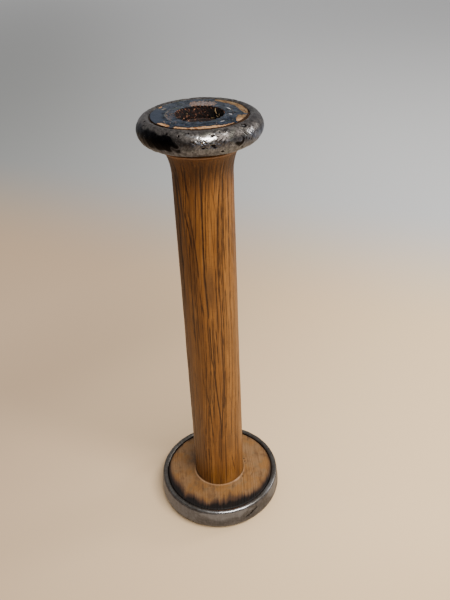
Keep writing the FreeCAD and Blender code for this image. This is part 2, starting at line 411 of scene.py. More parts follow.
class Bench:
    """One material in the making: its node tree, its Principled shader and a method that adds any node."""

    def __init__(self, name: str) -> None:
        """Starts an empty material of that name."""
        self.material = bpy.data.materials.new(name)
        self.material.use_nodes = True
        self.tree = self.material.node_tree
        self.tree.nodes.clear()
        self.shader = self.tree.nodes.new("ShaderNodeBsdfPrincipled")
        output = self.tree.nodes.new("ShaderNodeOutputMaterial")
        self.tree.links.new(self.shader.outputs[0], output.inputs["Surface"])
        self.place = self.add("ShaderNodeTexCoord", output="Object")

    def add(
        self,
        kind: str,
        settings: dict[str, Any] | None = None,
        inputs: dict[str | int, Any] | None = None,
        output: str | int = 0,
    ) -> Signal:
        """Adds a node, sets it up, then fills and links its sockets.

        Args:
            kind: The node's type.
            settings: Its properties, and for a ramp "stops" as pairs of place and colour.
            inputs: Numbers, vectors or signals by socket name or number.
            output: The socket that is handed back.

        Returns:
            The chosen output.
        """
        node = self.tree.nodes.new(kind)
        for key, value in (settings or {}).items():
            if key == "stops":
                self._set_stops(node.color_ramp, value)
            else:
                setattr(node, key, value)
        for key, value in (inputs or {}).items():
            self.feed(node.inputs[key], value)
        return Signal(self, node.outputs[output])

    @staticmethod
    def _set_stops(ramp: bpy.types.ColorRamp, stops: list[tuple[float, Colour]]) -> None:
        """Gives a ramp its places and colours."""
        while len(ramp.elements) < len(stops):
            ramp.elements.new(1.0)
        for element, (place, colour) in zip(ramp.elements, stops):
            element.position = place
            element.color = (*colour, 1.0)

    def feed(self, socket: bpy.types.NodeSocket, value: Any) -> None:
        """Links a signal to a socket, or sets the socket's own value."""
        if isinstance(value, Signal):
            self.tree.links.new(value.socket, socket)
        elif isinstance(value, tuple) and len(value) == 3 and len(socket.default_value) == 4:
            socket.default_value = (*value, 1.0)
        else:
            socket.default_value = value

    def maths(self, operation: str, *values: Operand) -> Signal:
        """Adds a Math node."""
        return self.add("ShaderNodeMath", {"operation": operation}, dict(enumerate(values)))

    def stretched(self, grain: "Grain", vector: Signal | None = None, turn: float = 0.0) -> Signal:
        """Coordinates turned about the axis, then scaled, for patterns that run along the grain."""
        inverse = tuple(1.0 / share for share in grain.value)
        return self.add(
            "ShaderNodeMapping",
            {"vector_type": "TEXTURE"},
            {"Vector": vector or self.place, "Rotation": (0.0, 0.0, turn), "Scale": inverse},
        )

    def reading(self, direction: tuple[float, float, float]) -> Signal:
        """How far a point lies along a direction, in metres."""
        return self.add("ShaderNodeVectorMath", {"operation": "DOT_PRODUCT"}, {0: self.place, 1: direction}, "Value")

    def noise(
        self, size: float, detail: float, vector: Signal | None = None, rough: float = 0.55, twist: float = 0.0
    ) -> Signal:
        """Cloudy noise.

        Args:
            size: Width of its largest features, in millimetres.
            detail: Octaves.
            vector: Coordinates, plain object coordinates when left out.
            rough: How strong the fine octaves are.
            twist: Distortion.

        Returns:
            Values round 0.5.
        """
        sockets = {"Vector": vector or self.place, "Scale": 1.0 / (size * MM)}
        sockets.update(Detail=detail, Roughness=rough, Distortion=twist)
        return self.add("ShaderNodeTexNoise", {"noise_dimensions": "3D"}, sockets)

    def spots(self, size: float) -> Signal:
        """Distance from scattered centres that lie about size millimetres apart: 0 at each, up to about 1."""
        sockets = {"Vector": self.place, "Scale": 1.0 / (size * MM), "Randomness": 1.0}
        return self.add("ShaderNodeTexVoronoi", {"feature": "F1", "voronoi_dimensions": "3D"}, sockets, "Distance")

    def mark(self, name: str, output: str = "Fac") -> Signal:
        """A point attribute of the piece."""
        settings = {"attribute_name": name, "attribute_type": "GEOMETRY"}
        return self.add("ShaderNodeAttribute", settings, output=output)

    def tint(self, under: Any, over: Any, share: Operand, blend: str = "MIX") -> Signal:
        """Mixes two colours: under where share is 0, over where it is 1."""
        settings = {"data_type": "RGBA", "blend_type": blend, "clamp_factor": True}
        return self.add("ShaderNodeMix", settings, {0: share, 6: under, 7: over}, 2)

    def layers(self, under: Any, *coats: tuple[Any, Operand]) -> Signal:
        """Lays colours over a colour, one after another, each by its share."""
        return reduce(lambda below, coat: self.tint(below, *coat), coats, under)

    def shade(self, under: Any, by: Any, share: Operand) -> Signal:
        """Multiplies a colour by another where share is 1."""
        return self.tint(under, by, share, "MULTIPLY")

    def ramp(self, share: Signal, *stops: tuple[float, Colour]) -> Signal:
        """Turns a value into a colour by stops."""
        return self.add("ShaderNodeValToRGB", {"stops": list(stops)}, {0: share})

    def bump(self, height: Signal, depth: float, strength: float, normal: Signal | None = None) -> Signal:
        """Relief finer than the mesh.

        Args:
            height: 0 to 1.
            depth: Millimetres from 0 to 1.
            strength: Share of the relief that shows.
            normal: A coarser bump that this one sits on.

        Returns:
            The bent normal.
        """
        inputs: dict[str | int, Any] = {"Height": height, "Distance": depth * MM, "Strength": strength}
        if normal is not None:
            inputs["Normal"] = normal
        return self.add("ShaderNodeBump", None, inputs)

    def finish(self, **sockets: Any) -> Material:
        """Fills the Principled shader's sockets and returns the material.

        Args:
            sockets: Socket names, with underscores for spaces, and their values.

        Returns:
            The material.
        """
        for name, value in sockets.items():
            self.feed(self.shader.inputs[name.replace("_", " ")], value)
        return self.material


# Finishes


class Grain(Enum):
    """How a pattern is stretched by the run of the fibres, or by the hand that rubbed the steel."""

    LONG_PORES = (1.0, 1.0, 0.024)
    SHORT_PORES = (1.0, 1.0, 0.055)
    RUNGS = (0.8, 0.8, 2.6)
    ACROSS_SMALL_HEAD = (1.0, 0.10, 0.5)
    ACROSS_LARGE_HEAD = (1.0, 0.11, 0.6)
    WIPED_ROUND = (1.0, 1.0, 0.22)


CHALK: Colour = (0.50, 0.50, 0.52)


@dataclass(frozen=True)
class OiledWood:
    """Open-grained wood, oiled and handled: amber between dark pore lines, checks and grime, with painted shade, a
    painted sheen and a painted highlight laid in.

    The mark grain is the place that a point would have if the grain ran straight up the barrel.
    """

    name: str
    gold: Colour = (0.262, 0.112, 0.0235)
    amber: Colour = (0.182, 0.0720, 0.0134)
    brown: Colour = (0.122, 0.0475, 0.0106)
    pale: Colour = (0.38, 0.190, 0.060)
    line: Colour = (0.034, 0.0118, 0.0038)
    crack: Colour = (0.0110, 0.0042, 0.0017)
    # dust: a pale grey film, partly dust and partly painted reflection
    dust: Colour = (0.165, 0.108, 0.066)
    # dirt: grime, partly painted shade
    dirt: Colour = (0.040, 0.0220, 0.0138)
    # near black, for real dirt in the bore and for painted shade deep in the bore and in the recess under the smaller
    # head's shield
    soot: Colour = (0.0025, 0.0015, 0.0010)
    # rim: pale, for the joint on the tenon's end and for the rim at the top of the cove, which is partly wear and
    # partly a painted highlight
    rim: Colour = (0.235, 0.150, 0.104)

    def material(self) -> Material:
        """Builds the wood from bands, streaks, flowing lines and pores, then its checks and dirt, with painted shade,
        sheen and highlight among them.
        """
        bench = Bench(self.name)
        grain = bench.mark("grain", "Vector")
        along, short = bench.stretched(Grain.LONG_PORES, grain), bench.stretched(Grain.SHORT_PORES, grain)
        band = bench.noise(8.0, 2.0, along, 0.5)
        streak = bench.noise(1.15, 4.0, along, 0.62)
        cloud = bench.noise(16.0, 3.0)
        rung = bench.noise(2.4, 3.0, bench.stretched(Grain.RUNGS, grain), 0.6)
        long_line = (bench.noise(4.4, 2.5, along, 0.42) - 0.5).size()
        short_line = (bench.noise(2.3, 2.0, along, 0.45) - 0.5).size()
        pores = bench.noise(0.55, 2.0, short, 0.5).between(0.56, 0.68)
        thread = bench.noise(0.62, 2.0, along, 0.5)
        check, rust, paint = bench.mark("check"), bench.mark("rust"), bench.mark("paint")
        # The grime mark is partly painted shade: on the left side, under the neck and at the foot.
        dirt = (bench.mark("grime") * (0.66 + 0.68 * streak)).between(0.0, 0.95)
        tone = band * 0.42 + streak * 0.33 + cloud * 0.25
        colour = bench.layers(
            bench.ramp(tone, (0.36, self.brown), (0.48, self.amber), (0.60, self.gold)),
            (self.brown, rung.between(0.50, 0.70) * 0.40),
            (self.line, long_line.between(0.022, 0.006) * cloud.between(0.38, 0.56) * 0.38),
            (self.line, short_line.between(0.026, 0.008) * band.between(0.58, 0.44) * 0.34),
            (self.line, pores * 0.30),
            (self.brown, thread.between(0.53, 0.64) * 0.55),
            (self.pale, thread.between(0.42, 0.32) * 0.32),
            (self.line, check.between(0.04, 0.50) * 0.94),
            (self.crack, check.between(0.55, 1.0) * 0.75),
            (rubbed_wood(bench), bench.mark("worn")),
            (mouth_rust(bench), rust),
            # partly dust, partly painted reflection: a pale grey film low down and on the left
            (self.dust, bench.mark("dust")),
            (self.dirt, dirt),
            # painted shade over real dirt: the bore and the recess under the shield go near black
            (self.soot, bench.mark("soot")),
            (slate_paint(bench), paint.between(0.35, 0.65)),
            # the pale joint on the tenon's end, and the rim at the top of the cove, partly wear and partly a painted
            # highlight
            (self.rim, bench.mark("edge")),
            (CHALK, bench.mark("speck")),
        )
        relief = bench.bump(1.0 - pores, 0.10, 0.8, bench.bump(streak, 0.06, 0.8))
        gloss = 0.46 + 0.24 * (streak - 0.5) + 0.35 * rust + 0.12 * dirt + 0.30 * paint
        return bench.finish(Base_Color=colour, Roughness=gloss, Normal=relief, Specular_IOR_Level=0.22)


def slate_paint(bench: Bench) -> Signal:
    """Old slate-blue paint as a colour: dusty blue-grey, darker and greener in patches, specked pale, with painted
    shade in front and a painted sheen behind.
    """
    patch = bench.noise(2.6, 6.0, rough=0.68)
    dark, middle, light = (0.0040, 0.0060, 0.0092), (0.0145, 0.0195, 0.0305), (0.035, 0.043, 0.059)
    left = bench.mark("slate")
    green = bench.noise(3.6, 4.0, twist=1.2).between(0.53, 0.66) * (1.0 - left)
    blue = bench.layers(
        bench.ramp(patch, (0.40, dark), (0.50, middle), (0.61, light)),
        ((0.0225, 0.029, 0.0425), left * 0.85),
        ((0.018, 0.025, 0.021), green * 0.8),
    )
    # Painted shade: the paint is darker and bluer on the side towards the camera.
    blue = bench.shade(blue, (0.70, 0.77, 0.86), bench.mark("front"))
    speck = bench.noise(0.75, 4.0, rough=0.7).between(0.58, 0.67) * (1.0 - left)
    # Painted sheen: the paint is paler at the back; then pale specks.
    return bench.layers(
        blue, ((0.060, 0.066, 0.074), bench.mark("back") * 0.16), ((0.115, 0.110, 0.108), speck * 0.75)
    )


def rubbed_wood(bench: Bench) -> Signal:
    """Wood rubbed through its paint, as a colour: pinkish grey, dark in its pores."""
    pores = bench.noise(0.8, 5.0, rough=0.75).between(0.40, 0.58)
    dust = bench.noise(2.6, 3.0).between(0.42, 0.60)
    return bench.layers((0.225, 0.162, 0.146), ((0.165, 0.140, 0.140), dust), ((0.042, 0.034, 0.033), pores))


def mouth_rust(bench: Bench) -> Signal:
    """Rust and burnt oil in the mouth as a colour: near black, flecked with red-brown and pale scale."""
    return bench.ramp(
        bench.noise(1.05, 5.0, rough=0.80),
        (0.49, (0.0010, 0.0005, 0.0004)),
        (0.552, (0.017, 0.0036, 0.0012)),
        (0.597, (0.105, 0.0230, 0.0070)),
        (0.662, (0.60, 0.33, 0.190)),
    )


@dataclass(frozen=True)
class PaintedWood:
    """Tan wood of the smaller head under slate paint that has worn back from its edge."""

    name: str
    streak: Colour = (0.180, 0.078, 0.030)
    bare: Colour = (0.400, 0.230, 0.116)
    pale: Colour = (0.46, 0.285, 0.150)
    grime: Colour = (0.010, 0.0045, 0.0025)
    rim: Colour = (0.165, 0.150, 0.120)

    def material(self) -> Material:
        """Builds bare wood, worn places, dirty lines at the edges, painted shade inside the shield, and the paint over
        all.
        """
        bench = Bench(self.name)
        grain = bench.noise(1.2, 5.0, bench.stretched(Grain.ACROSS_SMALL_HEAD, turn=0.45), 0.66)
        wood = bench.ramp(grain, (0.38, self.streak), (0.53, self.bare), (0.70, self.pale))
        paint = bench.mark("paint")
        colour = bench.layers(
            bench.shade(wood, (0.40, 0.43, 0.42), bench.mark("dull")),
            (rubbed_wood(bench), bench.mark("worn")),
            # grime: dirt at the seam, the paint's fringe, the cracks and a dent, and painted shade on the wood inside
            # the shield
            (self.grime, bench.mark("grime")),
            (slate_paint(bench), paint.between(0.35, 0.65)),
            (self.rim, bench.mark("edge")),
            (CHALK, bench.mark("speck")),
        )
        rough = bench.noise(0.8, 4.0)
        relief = bench.bump(rough * 0.6 + grain * 0.4, 0.10, 0.8)
        gloss = 0.66 - 0.04 * paint + 0.3 * (rough - 0.5)
        return bench.finish(Base_Color=colour, Roughness=gloss, Normal=relief, Specular_IOR_Level=0.06)


@dataclass(frozen=True)
class HeadWood:
    """Bare oily wood of the larger head, black with old oil and metal dust beside the shield."""

    name: str
    light: Colour = (0.205, 0.109, 0.0445)
    orange: Colour = (0.208, 0.096, 0.0270)
    dark: Colour = (0.094, 0.0455, 0.0175)
    olive: Colour = (0.118, 0.086, 0.042)
    brown: Colour = (0.046, 0.0225, 0.0125)
    black: Colour = (0.0036, 0.0019, 0.0012)
    nick: Colour = (0.012, 0.006, 0.003)
    pale: Colour = (0.38, 0.225, 0.125)

    def material(self) -> Material:
        """Builds streaked and mottled wood, then its brown creep with the barrel's painted shadow in it, its black edge
        with painted shade, and pale marks, one a painted highlight.
        """
        bench = Bench(self.name)
        along = bench.stretched(Grain.ACROSS_LARGE_HEAD, turn=0.05)
        streak, fibre = bench.noise(2.4, 5.0, along, 0.62), bench.noise(0.7, 4.0, along, 0.65)
        cloud, warm = bench.noise(6.0, 5.0, rough=0.65), bench.noise(9.0, 3.0)
        wood = bench.layers(
            self.light,
            (self.orange, warm.between(0.40, 0.58)),
            (self.dark, (streak * 0.5 + cloud * 0.5).between(0.53, 0.36) * 0.90),
            (self.dark, fibre.between(0.52, 0.70) * 0.50),
            (self.olive, bench.noise(4.0, 4.0, rough=0.6).between(0.54, 0.66) * 0.38),
            # brown: old oil creeping in, and the barrel's painted shadow at the back left
            (self.brown, bench.mark("brown") * (0.62 + 0.66 * streak)),
            # black: oil and metal dust beside the shield, and painted shade at the hole's joint on the left and inside
            # the shield
            (self.black, bench.mark("grime") * (0.72 + 0.56 * streak)),
            (self.nick, bench.mark("check").between(0.15, 0.7)),
            # pale: filler at the joint, and a ring near the hole that is a painted highlight
            (self.pale, bench.mark("edge")),
        )
        relief = bench.bump(fibre * 0.5 + streak * 0.5, 0.09, 0.7)
        gloss = 0.60 + 0.24 * (fibre - 0.5)
        return bench.finish(Base_Color=wood, Roughness=gloss, Normal=relief, Specular_IOR_Level=0.20)


@dataclass(frozen=True)
class ShieldSteel:
    """Old sheet steel gone brown-black, rubbed bright on its proud places, with painted shade, painted highlights and a
    painted reflection tint.
    """

    name: str
    bright: Colour
    patina: Colour
    polished: Colour
    # below: a painted reflection tint, multiplied in where the steel faces the floor
    below: Colour
    roughness: float
    pitted: float
    green: Colour = (0.070, 0.076, 0.058)
    soot: Colour = (0.0060, 0.0058, 0.0070)
    hollow: Colour = (0.0050, 0.0036, 0.0034)
    prick: Colour = (0.010, 0.007, 0.006)
    edge_light: Colour = (0.82, 0.82, 0.83)

    def material(self) -> Material:
        """Builds the patina, black scale that is partly painted shade, rubbed metal that is partly painted highlight,
        and the dirt in the pits.

        Where the steel faces the floor, a mark paints the metal bluer: a painted reflection tint that offsets the
        floor's warm reflection.
        """
        bench = Bench(self.name)
        cloud = bench.noise(7.0, 6.0, rough=0.62, twist=0.5)
        mottle = bench.noise(1.7, 5.0, rough=0.72, twist=0.3)
        wiped = bench.noise(1.4, 4.0, bench.stretched(Grain.WIPED_ROUND), 0.6)
        grit = bench.noise(0.42, 3.0)
        pit, dark, rub = bench.mark("pit"), bench.mark("dark"), bench.mark("rub")
        # Black scale by the dark mark, partly painted shade and dark reflection.
        soot = (dark * (0.38 + 0.72 * wiped + 0.46 * mottle)).between(0.08, 0.90)
        prick = bench.spots(0.85).between(0.32, 0.14) * bench.noise(3.0, 2.0).between(0.44, 0.60) * self.pitted
        scuff = bench.noise(0.9, 4.0, rough=0.75).between(0.62, 0.72) * self.pitted * (1.0 - dark)
        metal = bench.layers(
            self.patina,
            (self.bright, (mottle * 0.5 + cloud * 0.25 + wiped * 0.25).between(0.42, 0.59)),
            (self.green, cloud.between(0.53, 0.64) * (1.0 - rub) * 0.5 * self.pitted),
            # rubbed metal, partly painted highlights where the lamps reflect
            (self.polished, rub * (0.40 + 1.0 * wiped)),
        )
        # Painted reflection: steel that faces the floor is tinted bluer; then black scale, partly painted shade, and
        # the pits.
        metal = bench.layers(
            bench.shade(metal, self.below, bench.mark("cool")),
            (self.soot, soot),
            (self.hollow, pit.between(0.10, 0.55)),
            (self.prick, prick * 0.9),
            (self.polished, scuff * 0.55),
        )
        relief = bench.bump((mottle * 0.6 + wiped * 0.4) * (1.0 - 0.7 * rub), 0.14, 0.30 + 0.45 * self.pitted)
        relief = bench.bump(1.0 - prick, 0.12, 0.8, bench.bump(grit, 0.025, 0.6, relief))
        polish = (0.10 + 0.21 * self.pitted) * rub
        rough = self.roughness + 0.24 * (mottle - 0.5) - polish + 0.10 * pit - 0.06 * soot
        return bench.finish(
            Base_Color=metal, Roughness=rough, Metallic=1.0, Normal=relief, Specular_Tint=self.edge_light
        )


@dataclass(frozen=True)
class RustySteel:
    """Sleeve steel: rust where nothing rubs, dark polish where the spindle runs."""

    name: str
    crust: Colour = (0.012, 0.0045, 0.0025)
    steel: Colour = (0.13, 0.12, 0.11)
    stain: Colour = (0.04, 0.028, 0.022)

    def material(self) -> Material:
        """Builds rust over steel by the mark rub, which is 1 in the running bore."""
        bench = Bench(self.name)
        flake = bench.noise(1.3, 6.0, rough=0.7)
        rust = bench.tint(mouth_rust(bench), self.crust, flake.between(0.44, 0.60) * 0.8)
        steel = bench.tint(self.steel, self.stain, flake.between(0.44, 0.62))
        rub = bench.mark("rub")
        gloss, metal = 0.82 - 0.42 * rub, 0.15 + 0.75 * rub
        colour, relief = bench.tint(rust, steel, rub), bench.bump(flake, 0.12, 0.7)
        return bench.finish(Base_Color=colour, Roughness=gloss, Metallic=metal, Normal=relief)


@dataclass(frozen=True)
class DryStraw:
    """Pale dry splinters, darker in their cracks."""

    name: str
    dark: Colour = (0.05, 0.026, 0.012)
    straw: Colour = (0.24, 0.155, 0.065)
    pale: Colour = (0.38, 0.27, 0.14)

    def material(self) -> Material:
        """Builds straw colour with fine dark fibres along each splinter."""
        bench = Bench(self.name)
        fibre = bench.noise(0.3, 4.0, bench.stretched(Grain.WIPED_ROUND), 0.7)
        colour = bench.ramp(fibre, (0.36, self.dark), (0.55, self.straw), (0.70, self.pale))
        gloss, relief = 0.6 + 0.3 * (fibre - 0.5), bench.bump(fibre, 0.05, 0.7)
        return bench.finish(Base_Color=colour, Roughness=gloss, Normal=relief)


# The spool's pieces


@dataclass
class Turned:
    """What every turned piece shares: its name, the node it stands for, its slot and its columns."""

    name: str
    node: str
    slot: str
    columns: int

    def angles(self) -> Array:
        """The columns' angles in degrees, evenly spread from -180."""
        return -180.0 + 360.0 * np.arange(self.columns) / self.columns

    def section(self) -> Array:
        """The closed section, anticlockwise; each piece gives its own."""
        raise NotImplementedError

    def relief(self, section: Array, angle: Array) -> tuple[Array, Marks]:
        """Offsets and marks over the grid; each piece gives its own.

        Args:
            section: The section's points.
            angle: The columns' angles as one row.

        Returns:
            Millimetres outward, and the named marks, rows x columns each.
        """
        raise NotImplementedError

    def build(self, material: Material) -> Thing:
        """Makes the piece, dresses it and puts it in its node's place.

        Args:
            material: Its finish.

        Returns:
            The object.
        """
        section = self.section()
        columns = self.angles()
        offset, marks = self.relief(section, columns[None, :])
        blank = np.zeros(offset.shape)
        marks = {key: value if value.ndim == 3 else value + blank for key, value in marks.items()}
        piece = turned_mesh(self.name, section, columns, offset, marks)
        piece.data.materials.append(material)
        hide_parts(self.node)
        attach(piece, "root")
        LOG.info("%s: %d rows, %d columns, %d faces", self.name, *offset.shape, len(piece.data.polygons))
        return piece


def facing(section: Array) -> Array:
    """Unit normals of a section that runs anticlockwise: outward and upward parts, rows x 2."""
    tangent = np.roll(section, -1, 0) - np.roll(section, 1, 0)
    tangent /= np.linalg.norm(tangent, axis=1, keepdims=True)
    return np.stack([tangent[:, 1], -tangent[:, 0]], 1)


def along_of(section: Array) -> Array:
    """Length travelled along a section from its first point, as a column."""
    steps = np.linalg.norm(np.diff(section, axis=0, prepend=section[:1]), axis=1)
    return np.cumsum(steps)[:, None]


def paint_shade_and_sheen(angle: Array, face: Array) -> Marks:
    """The marks that tint the painted face: painted shade, darker and bluer towards the camera, and a painted sheen,
    paler behind.
    """
    return {"front": sector(angle, 0.0, 80.0, 45.0) * face, "back": sector(angle, 180.0, 85.0, 50.0) * face}


FRONT_CHECKS: tuple[Check, ...] = (
    Check(1.0, ((-3.8, 223.9), (-4.8, 216.0), (-5.6, 203.1), (-6.6, 189.4), (-7.4, 177.2), (-7.9, 165.0),
                (-7.1, 155.6), (-6.4, 149.7), (-5.6, 143.6), (-5.3, 138.1)), 0.34),
    Check(0.9, ((-31.1, 222.8), (-33.3, 218.6), (-34.5, 214.6), (-33.1, 210.8), (-30.1, 207.0), (-30.1, 203.0)), 0.41),
    Check(0.8, ((-42.3, 200.9), (-39.4, 195.5), (-34.4, 189.6), (-31.9, 183.4), (-27.5, 175.5)), 0.37),
    Check(0.75, ((-32.2, 203.5), (-33.2, 198.4), (-28.6, 194.6), (-25.1, 184.8), (-21.2, 172.5), (-20.5, 161.0)), 0.34),
    Check(0.65, ((-19.7, 158.5), (-19.8, 153.0), (-15.6, 144.1), (-13.6, 139.2)), 0.33),
    Check(0.6, ((-51.3, 223.8), (-53.6, 216.8), (-53.7, 212.4), (-49.8, 208.3), (-45.8, 201.0)), 0.33),
    Check(0.85, ((-54.8, 219.2), (-58.9, 212.0), (-57.8, 201.7), (-59.3, 189.7), (-59.3, 177.8), (-56.4, 164.0)), 0.49),
    Check(0.36, ((0.2, 216.7), (5.4, 209.3), (9.5, 200.8), (10.6, 192.2), (12.5, 174.5), (13.3, 168.4),
                (12.9, 162.1), (11.6, 148.0), (10.7, 132.6), (9.8, 128.1)), 0.25),
    Check(0.44, ((12.1, 213.4), (16.5, 205.0), (21.2, 196.8), (23.5, 192.0)), 0.23),
    Check(0.62, ((39.5, 218.2), (37.1, 197.2), (33.9, 183.3), (34.7, 172.4), (34.9, 163.0)), 0.28),
    Check(0.5, ((42.5, 196.1), (41.6, 184.8)), 0.25),
    Check(0.50, ((49.5, 202.0), (48.5, 186.0), (49.5, 166.0)), 0.24),
    Check(0.45, ((55.0, 192.0), (54.0, 170.0)), 0.24),
    Check(0.55, ((62.5, 196.0), (62.0, 176.0), (61.0, 158.0)), 0.28),
    Check(0.55, ((33.2, 158.6), (32.5, 149.4), (33.1, 140.1), (31.1, 121.1), (31.6, 115.4)), 0.26),
    Check(0.45, ((43.1, 155.2), (43.1, 146.4), (44.6, 131.4)), 0.25),
    Check(0.58, ((7.7, 135.0), (8.6, 127.5), (9.6, 114.9), (10.1, 107.8)), 0.31),
    Check(0.75, ((-4.1, 137.2), (-4.3, 129.8), (-3.9, 118.7), (-3.7, 113.3), (-1.4, 107.0)), 0.33),
    Check(0.5, ((-6.0, 108.8), (-5.6, 100.9), (-8.3, 86.4), (-6.0, 73.3)), 0.30),
    Check(0.85, ((-1.1, 108.8), (1.9, 97.2), (3.1, 89.2), (5.2, 81.0), (8.3, 69.3), (8.5, 52.0)), 0.33),
    Check(0.30, ((8.2, 101.5), (11.3, 91.0), (14.7, 81.1), (18.1, 69.1)), 0.26),
    Check(0.42, ((17.0, 89.7), (21.4, 82.5)), 0.28),
    Check(0.4, ((29.4, 88.0), (32.8, 83.6), (39.7, 75.5)), 0.25),
    Check(0.4, ((21.0, 132.2), (21.4, 126.7), (25.2, 116.8)), 0.25),
    Check(0.6, ((-21.8, 92.0), (-18.5, 87.5), (-14.1, 78.8), (-11.7, 64.1), (-11.0, 51.9)), 0.30),
    Check(0.5, ((-24.9, 108.8), (-24.7, 95.9), (-23.2, 89.2)), 0.28),
    Check(0.45, ((-44.3, 99.1), (-45.7, 89.2), (-41.7, 77.7), (-41.2, 58.0)), 0.30),
    Check(0.5, ((-31.1, 143.0), (-32.1, 130.6), (-32.0, 117.5), (-31.3, 109.8)), 0.33),
    Check(0.4, ((-48.4, 107.0), (-48.3, 90.7)), 0.28),
    Check(0.35, ((-42.7, 150.6), (-39.9, 133.7), (-40.7, 123.6)), 0.30),
    Check(0.55, ((-34.5, 55.2), (-34.9, 45.1), (-32.3, 30.7)), 0.30),
    Check(0.5, ((-25.4, 47.2), (-24.8, 38.5)), 0.28),
    Check(0.6, ((30.3, 41.1), (32.4, 34.6), (39.8, 21.7)), 0.26),
    Check(0.5, ((-10.5, 62.8), (-10.8, 53.7), (-10.2, 46.1)), 0.28),
    Check(0.26, ((19.4, 63.9), (20.5, 57.2), (22.7, 50.2)), 0.25),
)


@dataclass
class Barrel(Turned):
    """The turned barrel: a slow taper, a cove under the smaller head, tenons through both heads."""

    foot_radius: float = 14.8
    foot_mouth: Pair = (11.2, 0.05)
    foot_ledge: float = 1.0
    foot_seat_end: float = 23.0
    top_seat_end: float = 213.0
    worn_seat_end: float = 229.0
    neck_radius: float = 14.4
    neck_height: float = 212.85
    cove_radius: float = 29.0
    cove_top: float = 224.9
    flare_radius: float = 19.45
    flare_height: float = 226.75
    shoulder_height: float = 229.25
    tenon_radius: float = 14.74
    hub_height: float = 16.01
    face_height: float = 240.5
    bore_radius: float = 9.9
    seat_radius: float = 10.62
    mouth_radius: float = 11.7
    mouth_pinch: float = 0.65
    check_depth: float = 0.30
    fine_lines: int = 170
    neck_strokes: int = 46
    grain_seed: int = 418
    drift: tuple[Pair, ...] = (
        (16.0, 25.0), (30.0, 23.0), (45.0, 22.0), (60.0, 21.0), (75.0, 18.0), (90.0, 14.0), (108.0, 10.0),
        (140.0, 9.5), (160.0, 10.5), (175.0, 10.0), (190.0, 8.0), (205.0, 5.0), (220.0, 0.0),
    )
    front_checks: tuple[Check, ...] = FRONT_CHECKS
    smudges: tuple[Spot, ...] = (
        Spot(1.0, 159.0, 2.8, 16.0, 0.50), Spot(28.0, 50.0, 2.8, 11.0, 0.46), Spot(-14.0, 90.0, 2.4, 12.0, 0.40),
        Spot(-28.0, 110.0, 2.4, 11.0, 0.24), Spot(-42.0, 150.0, 2.2, 10.0, 0.20), Spot(-66.0, 199.0, 3.4, 10.0, 0.30),
    )

    def section(self) -> Array:
        """Foot, taper, cove, flared rim, tenon, worn mouth, seats and bore."""
        rise = math.degrees(math.asin((self.cove_top - self.neck_height) / self.cove_radius))
        centre = (self.neck_radius + self.cove_radius, self.neck_height)
        last = arc(centre, self.cove_radius, (180 - rise, 180 - rise - 1), 1)[0]
        foot, lip, tenon, mouth = self.foot_radius, self.flare_radius, self.tenon_radius, self.mouth_radius
        top, shoulder, face = self.flare_height, self.shoulder_height, self.face_height
        seat, bore = self.seat_radius, self.bore_radius
        runs = (
            line(self.foot_mouth, (foot - 0.5, self.foot_mouth[1]), 6),
            arc((foot - 0.45, 0.5), 0.45, (-90, 0), 4),
            lines((foot, 0.5), 4, (foot, self.hub_height - 0.6), 148, (self.neck_radius, self.neck_height)),
            arc(centre, self.cove_radius, (180, 180 - rise), 14),
            lines(tuple(last), 4, (lip - 1.25, top - 0.95), 3, (lip - 0.32, top - 0.42)),
            arc((lip - 0.50, top + 0.05), (0.50, 0.52), (-60, 70), 7),
            lines((lip - 0.34, top + 0.54), 2, (lip - 0.55, top + 0.9), 4, (lip - 0.55, shoulder)),
            lines((lip - 0.6, shoulder), 3, (tenon, shoulder), 4, (tenon, face - 0.2)),
            arc((tenon - 0.2, face - 0.2), 0.2, (0, 90), 3),
            line((tenon - 0.2, face), (mouth + 0.45, face), 11),
            arc((mouth + 0.45, face - 0.7), (0.45, 0.7), (90, 180), 6),
            lines((mouth, face - 0.7), 8, (seat, face - 4.5), 8, (seat, self.worn_seat_end)),
            line((seat, self.worn_seat_end), (seat, self.top_seat_end), 3),
            line((bore, self.top_seat_end), (bore, self.foot_seat_end), 8),
            lines((seat, self.foot_seat_end), 4, (seat, self.foot_ledge), 2, self.foot_mouth),
        )
        return np.concatenate(runs)

    def drift_at(self, height: Array) -> Array:
        """Degrees that the grain has wandered round the barrel at a height, by straight runs."""
        heights, degrees = np.array(self.drift).T
        return np.interp(height, heights, degrees)

    def grain_lines(self) -> tuple[Check, ...]:
        """Seeded fine lines that follow the grain all round, with deeper checks on the sides and back."""
        dice = np.random.default_rng(self.grain_seed)
        made = []
        for number in range(self.fine_lines + self.neck_strokes):
            short = number >= self.fine_lines
            start = dice.uniform(-180.0, 180.0)
            low = dice.uniform(208.0, 217.0) if short else dice.uniform(2.0, 205.0)
            high = min(low + (dice.uniform(8.0, 16.0) if short else dice.uniform(18.0, 90.0)), 225.6)
            heights = np.linspace(low, high, 6)
            sway = np.cumsum(dice.normal(0.0, 0.55, 6))
            angles = start - self.drift_at(heights) + self.drift_at(np.array(110.0)) + sway
            hidden = number % 5 == 0 and abs(apart(np.array(start), 0.0)) > 65.0
            strength = dice.uniform(0.55, 0.95) if hidden else dice.uniform(0.34, 0.88) * (0.62 if short else 1.0)
            width = dice.uniform(0.30, 0.42) if hidden else dice.uniform(0.17, 0.25)
            made.append(Check(strength, tuple(zip(angles.tolist(), heights.tolist())), width))
        return tuple(made)

